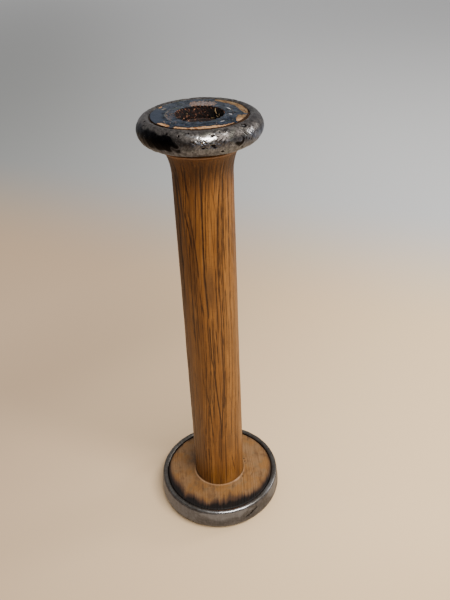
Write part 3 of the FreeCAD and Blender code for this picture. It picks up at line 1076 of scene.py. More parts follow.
    def relief(self, section: Array, angle: Array) -> tuple[Array, Marks]:
        """Checks, turning waves and dirt outside, with painted shade, sheen and highlight; a chipped, rusty mouth
        inside, darkened as painted shade.
        """
        radius, height = section[:, :1], section[:, 1:]
        index = np.arange(len(section))[:, None]
        bend = int(np.argmax(section[:, 0]))
        inward, drifted = index > bend, angle - self.drift_at(height)
        outside = (index > 12) & ~inward & (height > self.hub_height - 0.7)
        end_row = ((height > self.face_height - 0.25) & (radius < self.tenon_radius + 0.1)) * 1.0
        check = pooled(self.front_checks + self.grain_lines(), angle, height, self.neck_radius)
        flicker = Ripples(9, (6, 60), (3.0, 14.0)).over(angle, height)
        check = clamp(check * (0.94 + 0.14 * flicker)) * outside
        waves = Ripples(5, (1, 5), (25.0, 160.0)).over(angle, height)
        furrows = Ripples(31, (60, 120), (30.0, 110.0), 40).over(drifted, height)
        offset = outside * (0.05 * waves - 0.03 * np.clip(furrows, 0.0, 2.5)) - self.check_depth * check**1.5
        inner = (radius < self.mouth_radius + 0.44) & inward & (height > 226.0)
        lip = bell(height - self.face_height, -0.25, 0.8) * (radius < self.mouth_radius + 0.8) * inward
        chipped = np.clip(Ripples(17, (2, 12), (4.0, 9.0)).over(angle, height) - 0.4, 0.0, 1.6)
        crumbs = Ripples(23, (8, 50), (0.7, 2.4), 50).over(angle, height)
        pinch = self.mouth_pinch * np.sin(np.radians(angle)) ** 2 + 0.55 * sector(angle, -90.0, 64.0, 18.0)
        pinch = pinch * smooth(height, 229.0, 239.0)
        mouth = (radius < self.mouth_radius + 0.46) & (height < self.face_height - 0.05) & inward & (height > 229.0)
        steep = clamp(-facing(section)[:, :1]) ** 2
        offset = offset - lip * 0.16 * chipped + inner * 0.11 * crumbs + mouth * pinch * steep
        offset = offset + end_row * 0.04 * Ripples(61, (10, 80), (0.8, 3.0), 40).over(angle, radius)
        inside = (radius < self.seat_radius + 1.3) & (height < self.face_height - 0.02) & inward
        # Painted shade over real dirt: the bore darkens deeper in and away from its left wall, which the lamps light.
        soot = inside * (height > 200.0) * (0.32 + 0.66 * (1.0 - sector(angle, -112.0, 112.0, 62.0)))
        soot = soot * smooth(height, self.face_height + 0.5, self.face_height - 2.0)
        # Painted shade, partly grime: the upper left side, away from the lamps, is darkened.
        left = bell(apart(angle, -64.0), 0.0, 25.0) * smooth(height, 100.0, 185.0)
        # Painted reflection, partly dust: a pale grey film low on the barrel, stronger on its left, stands in for the
        # sheen of the floor and the larger head.
        low = smooth(height, 18.0, 36.0) * smooth(height, 180.0, 138.0)
        dust = low * (0.06 + (0.24 + 0.14 * smooth(height, 104.0, 72.0)) * sector(angle, -80.0, 64.0, 20.0))
        streaks = Ripples(77, (14, 62), (60.0, 260.0), 40).over(drifted, height)
        fuzzy = Ripples(79, (20, 70), (9.0, 30.0), 40).over(angle, height)
        right = smooth(apart(angle, 30.0), 0.0, 30.0)
        # The grime mark is partly painted shade: the darker left side, the neck under the smaller head, darker still on
        # the right where it offsets the side lamp, and a band at the foot on the shadow side; the smudges are dirt.
        grime = largest(
            left * (0.58 + 0.14 * smooth(height, 186.0, 200.0) + 0.26 * streaks),
            smooth(height + 1.1 * fuzzy, 200.0, 224.0) * (0.57 + 0.04 * fuzzy + 0.16 * right),
            bell(height, 16.2, 1.5) * sector(angle, -100.0, 70.0, 30.0) * 0.9,
            pooled(self.smudges, angle, height, self.neck_radius),
        )
        # Partly wear, partly painted highlight: the rim at the top of the cove is paled where it catches the light,
        # less on the right, which the side lamp lights.
        rim = bell(height - self.flare_height, -0.05, 0.52, 4) * (radius > self.flare_radius - 1.0)
        # Painted shade: the recess between the cove's rim and the smaller head's shield goes near black.
        recess = smooth(height, self.flare_height + 0.35, self.flare_height + 0.8)
        recess = recess * (radius > self.tenon_radius + 0.3) * (index > bend - 3)
        end_low = (height < 0.6) & (radius < self.foot_radius)
        rim_wear_and_highlight = rim * (0.76 + 0.12 * fuzzy) * (1.0 - 0.45 * right)
        worn, paint = self.end_marks(radius, angle, end_row)
        return offset, {
            "check": check,
            "grain": self.grain_place(radius, height, angle),
            "grime": clamp(grime) * outside * (1.0 - 0.45 * rim * (1.0 - right)) + end_low * 0.5,
            "dust": clamp(dust) * outside,
            "rust": inside * 1.0,
            "soot": clamp(soot + recess * 0.96),
            "edge": np.maximum(rim_wear_and_highlight, self.joint_line(radius, angle, end_row)),
            "speck": self.chalk_marks(radius, angle, end_row),
            "slate": sector(angle, -86.0, 34.0, 18.0) * end_row * 0.4,
            "paint": paint,
            "worn": worn,
            # painted shade towards the camera and a painted sheen behind, on the tenon's end
            **paint_shade_and_sheen(angle, end_row),
        }

    def grain_place(self, radius: Array, height: Array, angle: Array) -> Array:
        """Where each point would lie, in metres, if the grain ran straight up: turned back by the drift."""
        turn = np.radians(angle + self.drift_at(height))
        spread = np.broadcast_to(height, turn.shape)
        return np.stack([radius * np.sin(turn), -radius * np.cos(turn), spread], -1) * MM

    def end_marks(self, radius: Array, angle: Array, end_row: Array) -> tuple[Array, Array]:
        """Wear and paint on the tenon's end, which lies in the smaller head's face.

        Args:
            radius: The section's radii.
            angle: The columns' angles.
            end_row: 1 on the rows of the end.

        Returns:
            The marks worn and paint: bare at the back where a driver rubbed, and rough at the left.
        """
        ragged = Ripples(43, (7, 50), (1.2, 6.0), 40).over(angle, radius)
        back = sector(angle, 173.0, 30.0, 19.0, 4.0 * ragged) * (0.85 + 0.15 * ragged)
        left = sector(angle, -88.0, 38.0, 24.0, 5.0 * ragged) * smooth(ragged, 0.1, 1.0) * 0.55
        worn = clamp(np.maximum(back, left)) * end_row
        return worn, (1.0 - worn) * end_row

    def joint_line(self, radius: Array, angle: Array, end_row: Array) -> Array:
        """A thin pale line where the tenon's rim shows at the left of its end."""
        broken = Ripples(47, (9, 40), (3.0, 9.0), 30).over(angle, radius)
        near = bell(radius - self.tenon_radius, -0.22, 0.16)
        return near * sector(angle, -84.0, 46.0, 36.0) * smooth(broken, -0.7, 0.3) * end_row * 0.45

    def chalk_marks(self, radius: Array, angle: Array, end_row: Array) -> Array:
        """Pale nicks on the end's right side, placed by angle and radius."""
        nicks = (Spot(109.0, 14.4, 2.0, 0.22, 1.0, -8.0), Spot(75.7, 14.3, 0.42, 0.9, 1.0, 12.0))
        return pooled(nicks, angle, radius, 14.5) * end_row


@dataclass
class SmallHead(Turned):
    """The smaller head: slate paint on its face, bare wood where the paint has gone."""

    hole_radius: float = 14.80
    face_height: float = 240.5
    face_radius: float = 21.75
    hub_height: float = 229.28
    hub_radius: float = 19.5
    corner_centre: Pair = (22.5, 234.9)
    corner_radius: float = 4.62
    ledge_height: float = 239.52
    hem_groove: tuple[Pair, ...] = ((21.3, 231.1), (23.0, 232.1), (25.1, 234.7), (26.8, 233.7))
    paint_edge: tuple[Pair, ...] = (
        (-180, 24), (-128, 24), (-126, 20.7), (-122, 20.1), (-119.5, 20.8), (-118, 24), (-61, 24), (-58, 20.6),
        (-54, 19.7), (-49, 19.0), (-43, 19.5), (-38, 20.6), (-36, 24), (-32, 24), (-31, 19.7), (-25, 19.5),
        (-12, 19.8), (-5, 18.9), (0, 18.6), (13, 18.9), (20, 19.0), (27, 19.7), (36, 20.4), (43, 21.2),
        (45, 24), (47, 24), (49, 20.8), (54, 19.6), (59, 18.5), (68, 17.7), (73, 17.2), (76, 21.0), (80, 21.2),
        (83, 19.6), (95, 18.3), (105, 18.1), (118, 18.5), (129, 18.3), (144, 18.2), (157, 19.4), (161, 24), (180, 24),
    )

    def section(self) -> Array:
        """Hole, hub, rim inside the shield, and the face with eased edges."""
        face, out, hole, hub = self.face_height, self.face_radius, self.hole_radius, self.hub_height
        slope, low, high, end = self.hem_groove
        ledge = self.ledge_height
        runs = (
            lines((hole + 0.3, hub), 8, (self.hub_radius - 0.6, hub), 6, slope, 5, low, 4, high, 3, end),
            arc(self.corner_centre, self.corner_radius, (-12, 90), 12),
            lines((self.corner_centre[0], ledge), 2, (out, ledge), 3, (out, face - 0.3)),
            arc((out - 0.3, face - 0.3), 0.3, (0, 90), 4),
            line((out - 0.3, face), (hole + 0.12, face), 52),
            arc((hole + 0.12, face - 0.12), 0.12, (90, 180), 3),
            line((hole, face - 0.12), (hole, hub + 0.3), 5),
        )
        return np.concatenate(runs)

    def relief(self, section: Array, angle: Array) -> tuple[Array, Marks]:
        """Paint as a film with chipped edges, worn wood between, dirt by the shield and painted shade inside it."""
        radius, height = section[:, :1], section[:, 1:]
        index = np.arange(len(section))[:, None]
        face = (height > self.face_height - 0.25) * (radius < self.face_radius + 0.1) * np.ones_like(angle)
        edge = np.interp(angle, *np.array(self.paint_edge).T)
        ragged = Ripples(71, (16, 90), (0.9, 5.0), 60).over(angle, radius)
        broad = Ripples(72, (3, 18), (4.0, 12.0)).over(angle, radius)
        film = smooth(radius + 0.11 * ragged + 0.10 * broad, edge + 0.12, edge - 0.12)
        rubbed = sector(angle, 173.0, 28.0, 16.0, 5.0 * broad) * smooth(radius + 0.6 * ragged, 18.6, 16.6)
        ring = bell(radius - self.hole_radius, 0.25, 0.24)
        joint = ring * sector(angle, -84.0, 44.0, 34.0, 3.0 * ragged) * smooth(ragged, -0.8, 0.3) * 0.62
        far_left = bell(radius - 17.6, 0.075 * (angle + 122.0), 0.40) * sector(angle, -118.0, 5.0, 3.0)
        right = ring * sector(angle, 92.0, 34.0, 24.0) * 0.6 * (ragged > -0.2)
        chips = (ragged + 0.6 * broad > 2.9) * smooth(radius, 15.2, 16.0)
        worn = clamp(largest(rubbed, right, chips * 0.7)) * face
        seam = smooth(radius, self.face_radius - 0.62, self.face_radius - 0.25)
        fringe = bell(radius - edge, 0.1, 0.2) * 0.45
        cracks = self.edge_cracks(angle, radius) * (1.0 - film)
        # Painted shade: the wood hidden inside the shield is darkened nearly to black.
        hidden = (height < self.face_height - 0.25) & (radius > self.hub_radius - 0.5)
        grime = largest(seam * face, fringe * face, cracks * face, hidden * 0.92)
        rough = Ripples(73, (30, 140), (0.5, 2.5), 60).over(angle, radius)
        lathe = Ripples(74, (6, 40), (2.0, 8.0)).over(angle, radius)
        skin = 0.07 * film - 0.05 * (1 - film) + 0.035 * rough * (1 - 0.5 * film) - 0.10 * rubbed + 0.03 * broad
        dent = Spot(80.0, 19.0, 2.4, 0.34, 1.0, -6.0).over(angle, radius, 19.0)
        return face * skin - 0.08 * cracks * face + (index < 19) * 0.04 * lathe - 0.3 * dent * face, {
            "paint": film * (1.0 - worn) * face,
            "worn": worn,
            "grime": clamp(np.maximum(grime, 0.8 * dent * face)),
            "edge": np.maximum(joint, far_left * 0.9) * face,
            "dull": sector(angle, 118.0, 66.0, 50.0) * face,
            "speck": Spot(36.6, 16.2, 0.95, 0.26, 1.0, 4.0).over(angle, radius, 16.0) * face,
            "slate": sector(angle, -86.0, 36.0, 20.0) * smooth(radius, 16.2, 17.4) * face,
            # painted shade towards the camera and a painted sheen behind
            **paint_shade_and_sheen(angle, face),
        }

    @staticmethod
    def edge_cracks(angle: Array, radius: Array) -> Array:
        """Dark hair lines that run round in the bare crescents, where the growth rings show."""
        hairs = np.zeros(np.broadcast(angle, radius).shape)
        for number, (where, width) in enumerate(((20.9, 0.09), (19.9, 0.07), (19.2, 0.06))):
            sway = 0.35 * Ripples(130 + number, (2, 9), (40.0, 90.0), 12).over(angle, radius)
            broken = smooth(Ripples(140 + number, (5, 22), (40.0, 90.0), 16).over(angle, radius), -0.4, 0.4)
            np.maximum(hairs, broken * bell(radius - where, sway, width * 1.6), out=hairs)
        return hairs * 0.8


@dataclass
class LargeHead(Turned):
    """The larger head: bare oily wood that rises to a hub, stained black beside the shield."""

    hole_radius: float = 14.84
    hub_height: float = 16.0
    hub_radius: float = 17.2
    rim_radius: float = 32.85
    rim_height: float = 14.0
    foot_height: float = 0.02
    ledge_radius: float = 29.9
    corner_centre: Pair = (30.8, 6.1)
    corner_radius: float = 4.62
    hem_groove: tuple[Pair, ...] = ((35.42, 6.1), (35.0, 10.2), (32.5, 11.0))
    nicks: tuple[Spot, ...] = (
        Spot(55.0, 16.9, 0.42, 0.5, 1.0), Spot(106.0, 16.3, 0.45, 0.45, 1.0), Spot(97.8, 16.3, 0.5, 0.4, 1.0),
        Spot(91.8, 16.7, 0.4, 0.4, 0.8), Spot(67.0, 21.2, 1.7, 0.28, 0.5),
    )
    black_edge: tuple[Pair, ...] = (
        (-180, 33.0), (-125, 33.0), (-100, 32.8), (-85, 31.6), (-74, 30.9), (-66, 30.3), (-60, 29.8), (-55, 30.2),
        (-50, 30.5), (-45, 30.5), (-40, 30.0), (-35, 29.0), (-30, 29.1), (-25, 30.4), (-20, 31.3), (-15, 30.2),
        (-10, 28.8), (0, 29.4), (10, 28.3), (20, 28.7), (30, 28.9), (40, 30.4), (50, 30.8), (60, 31.2), (75, 32.3),
        (90, 33.0), (180, 33.0),
    )
    brown_edge: tuple[Pair, ...] = (
        (-180, 32.6), (-125, 32.6), (-100, 32.1), (-85, 30.7), (-74, 29.0), (-66, 28.0), (-60, 27.7), (-55, 28.2),
        (-50, 28.7), (-45, 28.3), (-40, 27.6), (-35, 27.0), (-30, 27.0), (-25, 28.2), (-20, 29.4), (-15, 28.2),
        (-10, 26.5), (0, 26.4), (10, 24.6), (20, 25.1), (30, 27.0), (40, 28.5), (50, 29.1), (60, 29.8), (75, 30.9),
        (90, 32.2), (140, 32.9), (180, 32.6),
    )

    def section(self) -> Array:
        """Foot face, rim inside the shield, worn shoulder, slope, hub and hole."""
        hole, hub, out = self.hole_radius, self.hub_height, self.rim_radius
        foot, ledge = self.foot_height, self.ledge_radius
        wall, high, low = self.hem_groove
        runs = (
            lines((hole + 0.3, foot), 34, (ledge, foot), 2, (ledge, 1.5)),
            arc(self.corner_centre, self.corner_radius, (-90, 0), 12),
            lines(wall, 3, high, 3, low, 3, (out, 12.4)),
            arc((out - 1.2, self.rim_height - 1.2), (1.2, 1.55), (0, 84), 10),
            lines((out - 1.07, self.rim_height + 0.34), 66, (self.hub_radius, hub), 12, (hole + 0.3, hub)),
            arc((hole + 0.3, hub - 0.3), 0.3, (90, 180), 4),
            line((hole, hub - 0.3), (hole, 0.3), 5),
        )
        return np.concatenate(runs)

    def relief(self, section: Array, angle: Array) -> tuple[Array, Marks]:
        """Raised grain on the top, a scored circle on the hub, stain and dents, with the barrel's painted shadow,
        painted shade and a painted highlight.
        """
        radius, height = section[:, :1], section[:, 1:]
        top = (height > 11.9) * (radius > self.hole_radius + 0.1) * np.ones_like(angle)
        turn = np.radians(angle)
        across, deep = radius * np.sin(turn), -radius * np.cos(turn)
        sway = across + 0.5 * np.sin(deep / 7.0)
        fibres = Ripples(81, (0, 0), (0.7, 3.2), 60).over(0.0 * angle, sway)
        coarse = Ripples(84, (0, 0), (2.2, 9.0), 30).over(0.0 * angle, sway)
        reach = np.abs(np.cos(turn)) * (0.26 * fibres + 0.30 * coarse)
        black, brown = (np.interp(angle, *np.array(edge).T) for edge in (self.black_edge, self.brown_edge))
        grime = smooth(radius + reach, black - 2.0, black + 0.8) * top
        creep = smooth(radius + 1.4 * reach, brown - 2.8, brown + 1.9) * top
        # Painted shadow: the barrel's shadow on the head at the back left, laid into the brown mark.
        shade = bell(radius, self.hole_radius, 9.0) * sector(angle, -124.0, 44.0, 8.0) * top
        dents = Dents(82, 26, (17.5, 30.5), (0.3, 1.3), (0.10, 0.28)).over(angle, radius, 24.0) * top
        gouges = pooled(self.nicks, angle, radius, 17.0) * top
        score = bell(radius, 17.75, 0.13) * sector(angle, -6.0, 30.0, 18.0) * top
        # Painted highlight: a pale ring near the hole, round the front and right, where its edge catches the light. The
        # spot below is pale filler.
        ring = bell(radius, 15.75, 0.38) * sector(angle, -8.0, 96.0, 66.0)
        filler = Spot(41.0, 15.9, 2.4, 0.75, 1.0).over(angle, radius, 16.0)
        # A dark joint round the hole, darker on the left as painted shade.
        seam = smooth(radius, self.hole_radius + 0.42, self.hole_radius + 0.16) * top
        seam = seam * (0.50 + 0.45 * sector(angle, -88.0, 40.0, 16.0))
        under = (height < 1.0) * np.ones_like(angle)
        foot_dirt = Ripples(83, (3, 30), (2.0, 12.0)).over(angle, radius)
        # Painted shade: the wood hidden inside the shield is black.
        hidden = ((height < 11.9) & (height > 1.0)) * 1.0
        smoky = 0.15 * sector(angle, -52.0, 64.0, 30.0) * top
        offset = top * (0.045 * fibres - 0.10 * score) - dents - 0.28 * gouges + under * np.minimum(0.03 * fibres, 0.0)
        return offset, {
            "grime": clamp(grime + hidden + seam),
            "brown": clamp(creep + 0.58 * shade + smoky + under * (0.35 + 0.15 * foot_dirt)),
            "check": np.maximum(gouges, 0.5 * score),
            "edge": clamp(ring * 0.6 + 0.7 * filler) * top,
        }


@dataclass
class Shield(Turned):
    """A rolled steel shield: a flange on the face, a round corner, a wall and a rolled bead."""

    pits: tuple[Dents, ...] = ()
    spots: tuple[Spot, ...] = ()
    # Black scale, partly painted shade and dark reflection.
    dark_scale_and_shade: tuple[Smear, ...] = ()
    # Rubbed places, partly painted highlights.
    rubs_and_highlights: tuple[Smear, ...] = ()
    reach: float = 30.0
    arc_radius: float = 6.1
    inner_arc: float = 4.7
    bead_radius: float = 1.8

    def worn_marks(self, angle: Array, along: Array) -> tuple[Array, Array, Array]:
        """Works out what both shields share: pits, black scale that is partly painted shade, and rubbed places that are
        partly painted highlights.

        Args:
            angle: The columns' angles.
            along: Millimetres along the section.

        Returns:
            The depth of the pits, and the marks dark and rub.
        """
        aside = angle + 0.45 * Ripples(98, (20, 90), (1.2, 5.0), 30).over(angle, along)
        astray = along + 0.17 * Ripples(99, (20, 90), (1.2, 5.0), 30).over(angle, along)
        frayed = Ripples(91, (4, 40), (3.0, 14.0), 40).over(angle, along)
        pit = pooled(self.pits + self.spots, aside, astray, self.reach)
        return pit, pooled(self.dark_scale_and_shade, angle, along, frayed), pooled(self.rubs_and_highlights, angle, along, frayed)


@dataclass
class SmallShield(Shield):
    """The shield of the smaller head, pitted and blackened, with painted shade, painted highlights and a punch mark on
    its crown.
    """

    inner_radius: float = 22.05
    lip_end: Pair = (22.6, 239.3)
    hem: tuple[Pair, ...] = ((27.12, 234.0), (25.35, 234.42), (23.95, 232.65))
    arc_centre: Pair = (22.5, 234.9)
    bead_centre: Pair = (25.52, 231.78)
    punch: Pair = (45.8, 10.3)
    punch_reach: float = 24.5
    hidden_rows: tuple[int, int] = (73, 94)

    def section(self) -> Array:
        """Crown and wall, lip, sheet thickness and hem, then the bead."""
        top = self.arc_centre[1] + self.arc_radius
        lip = self.inner_radius
        wall, corner, end = self.hem
        runs = (
            arc(self.arc_centre, self.arc_radius, (-38, 74), 58),
            arc((lip + 2.10, top - 1.50), (2.10, 1.32), (88, 180), 14),
            line((lip, top - 1.50), self.lip_end, 2),
            arc(self.arc_centre, self.inner_arc, (88, -10), 12),
            lines(wall, 4, corner, 4, end),
            arc(self.bead_centre, self.bead_radius, (151, 322), 30),
        )
        return np.concatenate(runs)

    def relief(self, section: Array, angle: Array) -> tuple[Array, Marks]:
        """Pits and dents over the crown and wall, and the round punch mark."""
        height, along = section[:, 1:], along_of(section)
        rows = np.arange(len(section))[:, None]
        shown = ((rows < self.hidden_rows[0]) | (rows > self.hidden_rows[1])) * 1.0
        pit, dark, rub = self.worn_marks(angle, along)
        pit = pit * shown
        away = np.hypot(np.radians(apart(angle, self.punch[0])) * self.punch_reach, along - self.punch[1])
        punch = bell(away, 0.0, 0.95, 4) * (1.0 - 0.6 * bell(away, 0.0, 0.4))
        waves = Ripples(92, (2, 9), (9.0, 30.0)).over(angle, along)
        hammered = Ripples(93, (10, 42), (2.5, 9.0), 50).over(angle, along)
        fine = Ripples(97, (40, 130), (0.9, 3.2), 60).over(angle, along)
        rumpled = sector(angle, 6.0, 18.0, 9.0) * smooth(np.abs(along - 4.6), 3.4, 1.8)
        rumpled = np.maximum(rumpled, 0.7 * sector(angle, 46.0, 13.0, 6.0) * smooth(np.abs(along - 6.5), 4.2, 2.0))
        creased = Ripples(89, (50, 150), (1.1, 3.0), 50).over(angle, along)
        offset = shown * (0.05 * waves + 0.032 * hammered + 0.011 * fine + 0.045 * rumpled * creased)
        offset = np.minimum(offset - pit - 0.34 * punch + 0.05 * bell(away, 1.35, 0.35) - 0.18, 0.0)
        # Painted shade and glint in the punch mark: its crater is darker on its lower side, and its raised centre is
        # made pale and glossy as a painted glint.
        painted_shade_side = smooth(along - self.punch[1], 0.6, -0.4)
        crater = bell(away, 0.90, 0.34) * (0.62 + 0.38 * painted_shade_side)
        bead = bell(height, 230.0, 0.5) * (rows > self.hidden_rows[1])
        # Painted shade: the hidden rows under the crown take the dark pit colour; steel that faces the floor takes the
        # painted reflection tint.
        return offset, {
            "pit": clamp(clamp(pit / 0.22) + 0.9 * crater + (1.0 - shown)),
            "dark": clamp(dark),
            "cool": smooth(facing(section)[:, 1:], 0.48, -0.12),
            "rub": clamp(np.maximum(rub * (1.0 - dark), 0.40 * bead) + bell(away, 0.0, 0.38)),
        }


@dataclass
class LargeShield(Shield):
    """The shield of the larger head: smoother, rubbed satin with painted highlights, with a long scrape at the front
    right.
    """

    flange_radius: float = 30.3
    sheet: float = 1.4
    arc_centre: Pair = (30.8, 6.1)
    wall_low: Pair = (36.866, 6.738)
    wall_high: Pair = (36.135, 13.70)
    bead_centre: Pair = (34.345, 13.51)
    hem: tuple[Pair, ...] = ((32.55, 13.51), (32.76, 11.5), (34.95, 11.5), (35.45, 6.6))
    shown_rows: tuple[int, int] = (1, 106)

    def section(self) -> Array:
        """Flange, corner, wall and bead outside; hem and sheet thickness inside."""
        flange, bend = self.flange_radius, self.arc_centre[0]
        bead_end, low, out, corner = self.hem
        runs = (
            line((flange, 0.0), (bend, 0.0), 2),
            arc(self.arc_centre, self.arc_radius, (-90, 6), 40),
            line(self.wall_low, self.wall_high, 26),
            arc(self.bead_centre, self.bead_radius, (6, 180), 36),
            lines(bead_end, 4, low, 3, out, 3, corner),
            arc(self.arc_centre, self.inner_arc, (0, -90), 10),
            lines((bend, self.sheet), 2, (flange, self.sheet), 2, (flange, 0.0)),
        )
        return np.concatenate(runs)

    def relief(self, section: Array, angle: Array) -> tuple[Array, Marks]:
        """A few pits, shallow dents, fine wiping marks, the lip's thin groove and the scrape."""
        radius, height, along = section[:, :1], section[:, 1:], along_of(section)
        rows = np.arange(len(section))[:, None]
        shown = (rows < self.shown_rows[1]) * (rows > self.shown_rows[0]) * 1.0
        pit, dark, rub = self.worn_marks(angle, along)
        lean = apart(angle, 29.0) - (height - 9.4) * 3.1
        scrape = np.exp(-((lean / 2.6) ** 2) - ((height - 9.5) / 2.1) ** 4)
        scrape = clamp(scrape * (0.8 + 0.3 * Ripples(96, (30, 120), (0.8, 3.0), 40).over(angle, along)))
        waves = Ripples(94, (2, 7), (12.0, 40.0)).over(angle, along)
        dinged = Ripples(95, (9, 34), (4.0, 14.0), 40).over(angle, along)
        lip = bell(height, 14.25, 0.26) * (radius > 35.0) * sector(angle, -50.0, 62.0, 34.0)
        offset = shown * (0.03 * waves + 0.020 * dinged - 0.10 * lip) - pit * shown - 0.20 * scrape - 0.10
        # The bead's inner half goes near black, partly grime and partly painted shade from the barrel; its top is
        # darkened as painted shade except under the painted highlight.
        inner = smooth(radius, 32.95, 32.58) * (height > 10.0)
        # Painted highlight: the bead's top is made pale and glossy at the front and front right, where the lamps'
        # highlights fall.
        painted_highlight = 0.98 * sector(angle, 7.0, 32.0, 5.0) + 0.45 * sector(angle, 58.0, 14.0, 5.0)
        top = bell(height, 15.0, 0.75) * smooth(radius, 32.8, 33.6)
        # Painted shade: the hidden rows take the dark pit colour; the wall below the bead takes the painted reflection
        # tint.
        return np.minimum(offset, -0.01), {
            "pit": clamp(clamp(pit / 0.2) + 0.8 * scrape + 0.35 * lip + (1.0 - shown)),
            "dark": clamp(largest(dark, inner * 0.97, 0.26 * top * (1.0 - painted_highlight))),
            "cool": smooth(height, 15.2, 13.9) * (radius > 33.9) * 0.8,
            "rub": clamp(np.maximum(rub, top * painted_highlight)) * (1.0 - inner),
        }


@dataclass
class Sleeve(Turned):
    """A steel sleeve that the spindle runs in; the lower one has two drive slots across its end."""

    low: float = 213.0
    high: float = 235.0
    outer_radius: float = 10.58
    inner_radius: float = 9.62
    slot_width: float = 0.0
    slot_depth: float = 0.0
    slot_side: float = 0.06
    ease: float = 0.35

    def angles(self) -> Array:
        """Even columns, with a pair of them at each slot's side so that its wall stands straight."""
        even = super().angles()
        if not self.slot_width:
            return even
        half = math.degrees(math.asin(self.slot_width / 2 / self.outer_radius))
        sides = np.array([centre + side * half for centre in (-90.0, 90.0) for side in (-1, 1)])
        return np.sort(np.concatenate([even, sides - self.slot_side, sides + self.slot_side]))

    def section(self) -> Array:
        """A tube with eased edges."""
        inner, outer, low, high, ease = self.inner_radius, self.outer_radius, self.low, self.high, self.ease
        runs = (
            lines((inner + ease, low), 4, (outer, low), 24, (outer, high), 4, (inner + ease, high)),
            arc((inner + ease, high - ease), ease, (90, 180), 4),
            line((inner, high - ease), (inner, low + ease), 24),
            arc((inner + ease, low + ease), ease, (180, 270), 4),
        )
        return np.concatenate(runs)

    def relief(self, section: Array, angle: Array) -> tuple[Array, Marks]:
        """Rust lumps outside and on the ends, score lines in the running bore."""
        radius, height = section[:, :1], section[:, 1:]
        lumps = Ripples(int(self.low) + 3, (6, 50), (1.0, 6.0), 40).over(angle, height)
        bore = smooth(radius, self.inner_radius + 0.25, self.inner_radius + 0.05) * np.ones_like(angle)
        bore = bore * smooth(height, self.high - 0.4, self.high - 3.5)
        return -0.03 * np.abs(lumps) * (1.0 - 0.7 * bore), {"rub": bore * clamp(0.75 + 0.25 * lumps)}

    def build(self, material: Material) -> Thing:
        """Makes the sleeve and lifts its lower end into the two drive slots.

        Args:
            material: Its finish.

        Returns:
            The object. In a slot a height h below the slot's roof becomes roof + (h - low) / 100, so the
            slot has a flat roof and straight walls.
        """
        piece = super().build(material)
        if self.slot_width:
            places = np.empty(len(piece.data.vertices) * 3, dtype=np.float32)
            piece.data.vertices.foreach_get("co", places)
            places = places.reshape(-1, 3)
            roof = (self.low + self.slot_depth) * MM
            inside = (np.abs(places[:, 1]) < self.slot_width / 2 * MM) & (places[:, 2] < roof)
            places[inside, 2] = roof + (places[inside, 2] - self.low * MM) / 100
            piece.data.vertices.foreach_set("co", places.ravel())
            piece.data.update()
        return piece


@dataclass
class MouthSplinters:
    """Dry splinters caught on the wall just inside the mouth, each a thin spindle on a bent line."""

    name: str = "mouth_splinters"
    sides: int = 6
    steps: int = 9
    wall_radius: float = 10.85
    sunk: float = 0.25
    bow: float = 0.35
    placed: tuple[tuple[float, float, float, float, float], ...] = (
        (134.2, 240.3, 132.8, 237.4, 0.28),
        (131.0, 237.2, 124.5, 236.4, 0.15),
        (150.5, 235.2, 141.5, 235.6, 0.18),
        (-149.4, 238.2, -147.6, 237.0, 0.15),
        (118.0, 238.4, 121.5, 236.9, 0.14),
        (-97.0, 232.0, -84.0, 231.0, 0.16),
    )

    def build(self, material: Material) -> Thing:
        """Carries a small ring along each splinter's line and closes both ends.

        Args:
            material: Their finish.

        Returns:
            The object. A splinter runs from its first angle and height to its last, bowed off the wall
            by 0.35 mm at the middle, and its thickness is thick * sin(pi * t)^0.6.
        """
        share = np.linspace(0.0, 1.0, self.steps)
        spin = FULL_TURN * np.arange(self.sides) / self.sides
        ends = np.array(self.placed)
        turn = np.radians(ends[:, :1] + apart(ends[:, 2:3], ends[:, :1]) * share + 1.2 * np.sin(5 * share))
        reach = self.wall_radius - self.sunk - self.bow * np.sin(math.pi * share)
        high = ends[:, 1:2] + (ends[:, 3:4] - ends[:, 1:2]) * share
        outward = np.stack([np.sin(turn), -np.cos(turn), 0 * turn], -1)
        centre = reach[:, None] * outward + high[..., None] * np.array([0.0, 0.0, 1.0])
        tangent = np.gradient(centre, axis=1)
        tangent /= np.linalg.norm(tangent, axis=-1, keepdims=True)
        sideways = np.cross(tangent, outward)
        swell = ends[:, 4:] * np.clip(np.sin(math.pi * share), 0.03, 1.0) ** 0.6
        ring = (
            centre[:, :, None]
            + (swell[..., None] * np.cos(spin))[..., None] * outward[:, :, None]
            + (swell[..., None] * np.sin(spin))[..., None] * sideways[:, :, None]
        )
        grid = np.arange(ring[..., 0].size).reshape(ring.shape[:3])
        turned = np.roll(grid, -1, 2)
        walls = np.stack([grid[:, :-1], turned[:, :-1], turned[:, 1:], grid[:, 1:]], -1).reshape(-1, 4)
        start, end = grid[:, 0], grid[:, -1]
        caps = [start[:, [3, 2, 1, 0]], start[:, [5, 4, 3, 0]], end[:, [0, 1, 2, 3]], end[:, [0, 3, 4, 5]]]
        piece = mesh_object(self.name, ring.reshape(-1, 3) * MM, np.concatenate([walls, *caps]), {})
        piece.data.materials.append(material)
        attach(piece, "root")
        LOG.info("%s: %d splinters", self.name, len(self.placed))
        return piece


# The studio


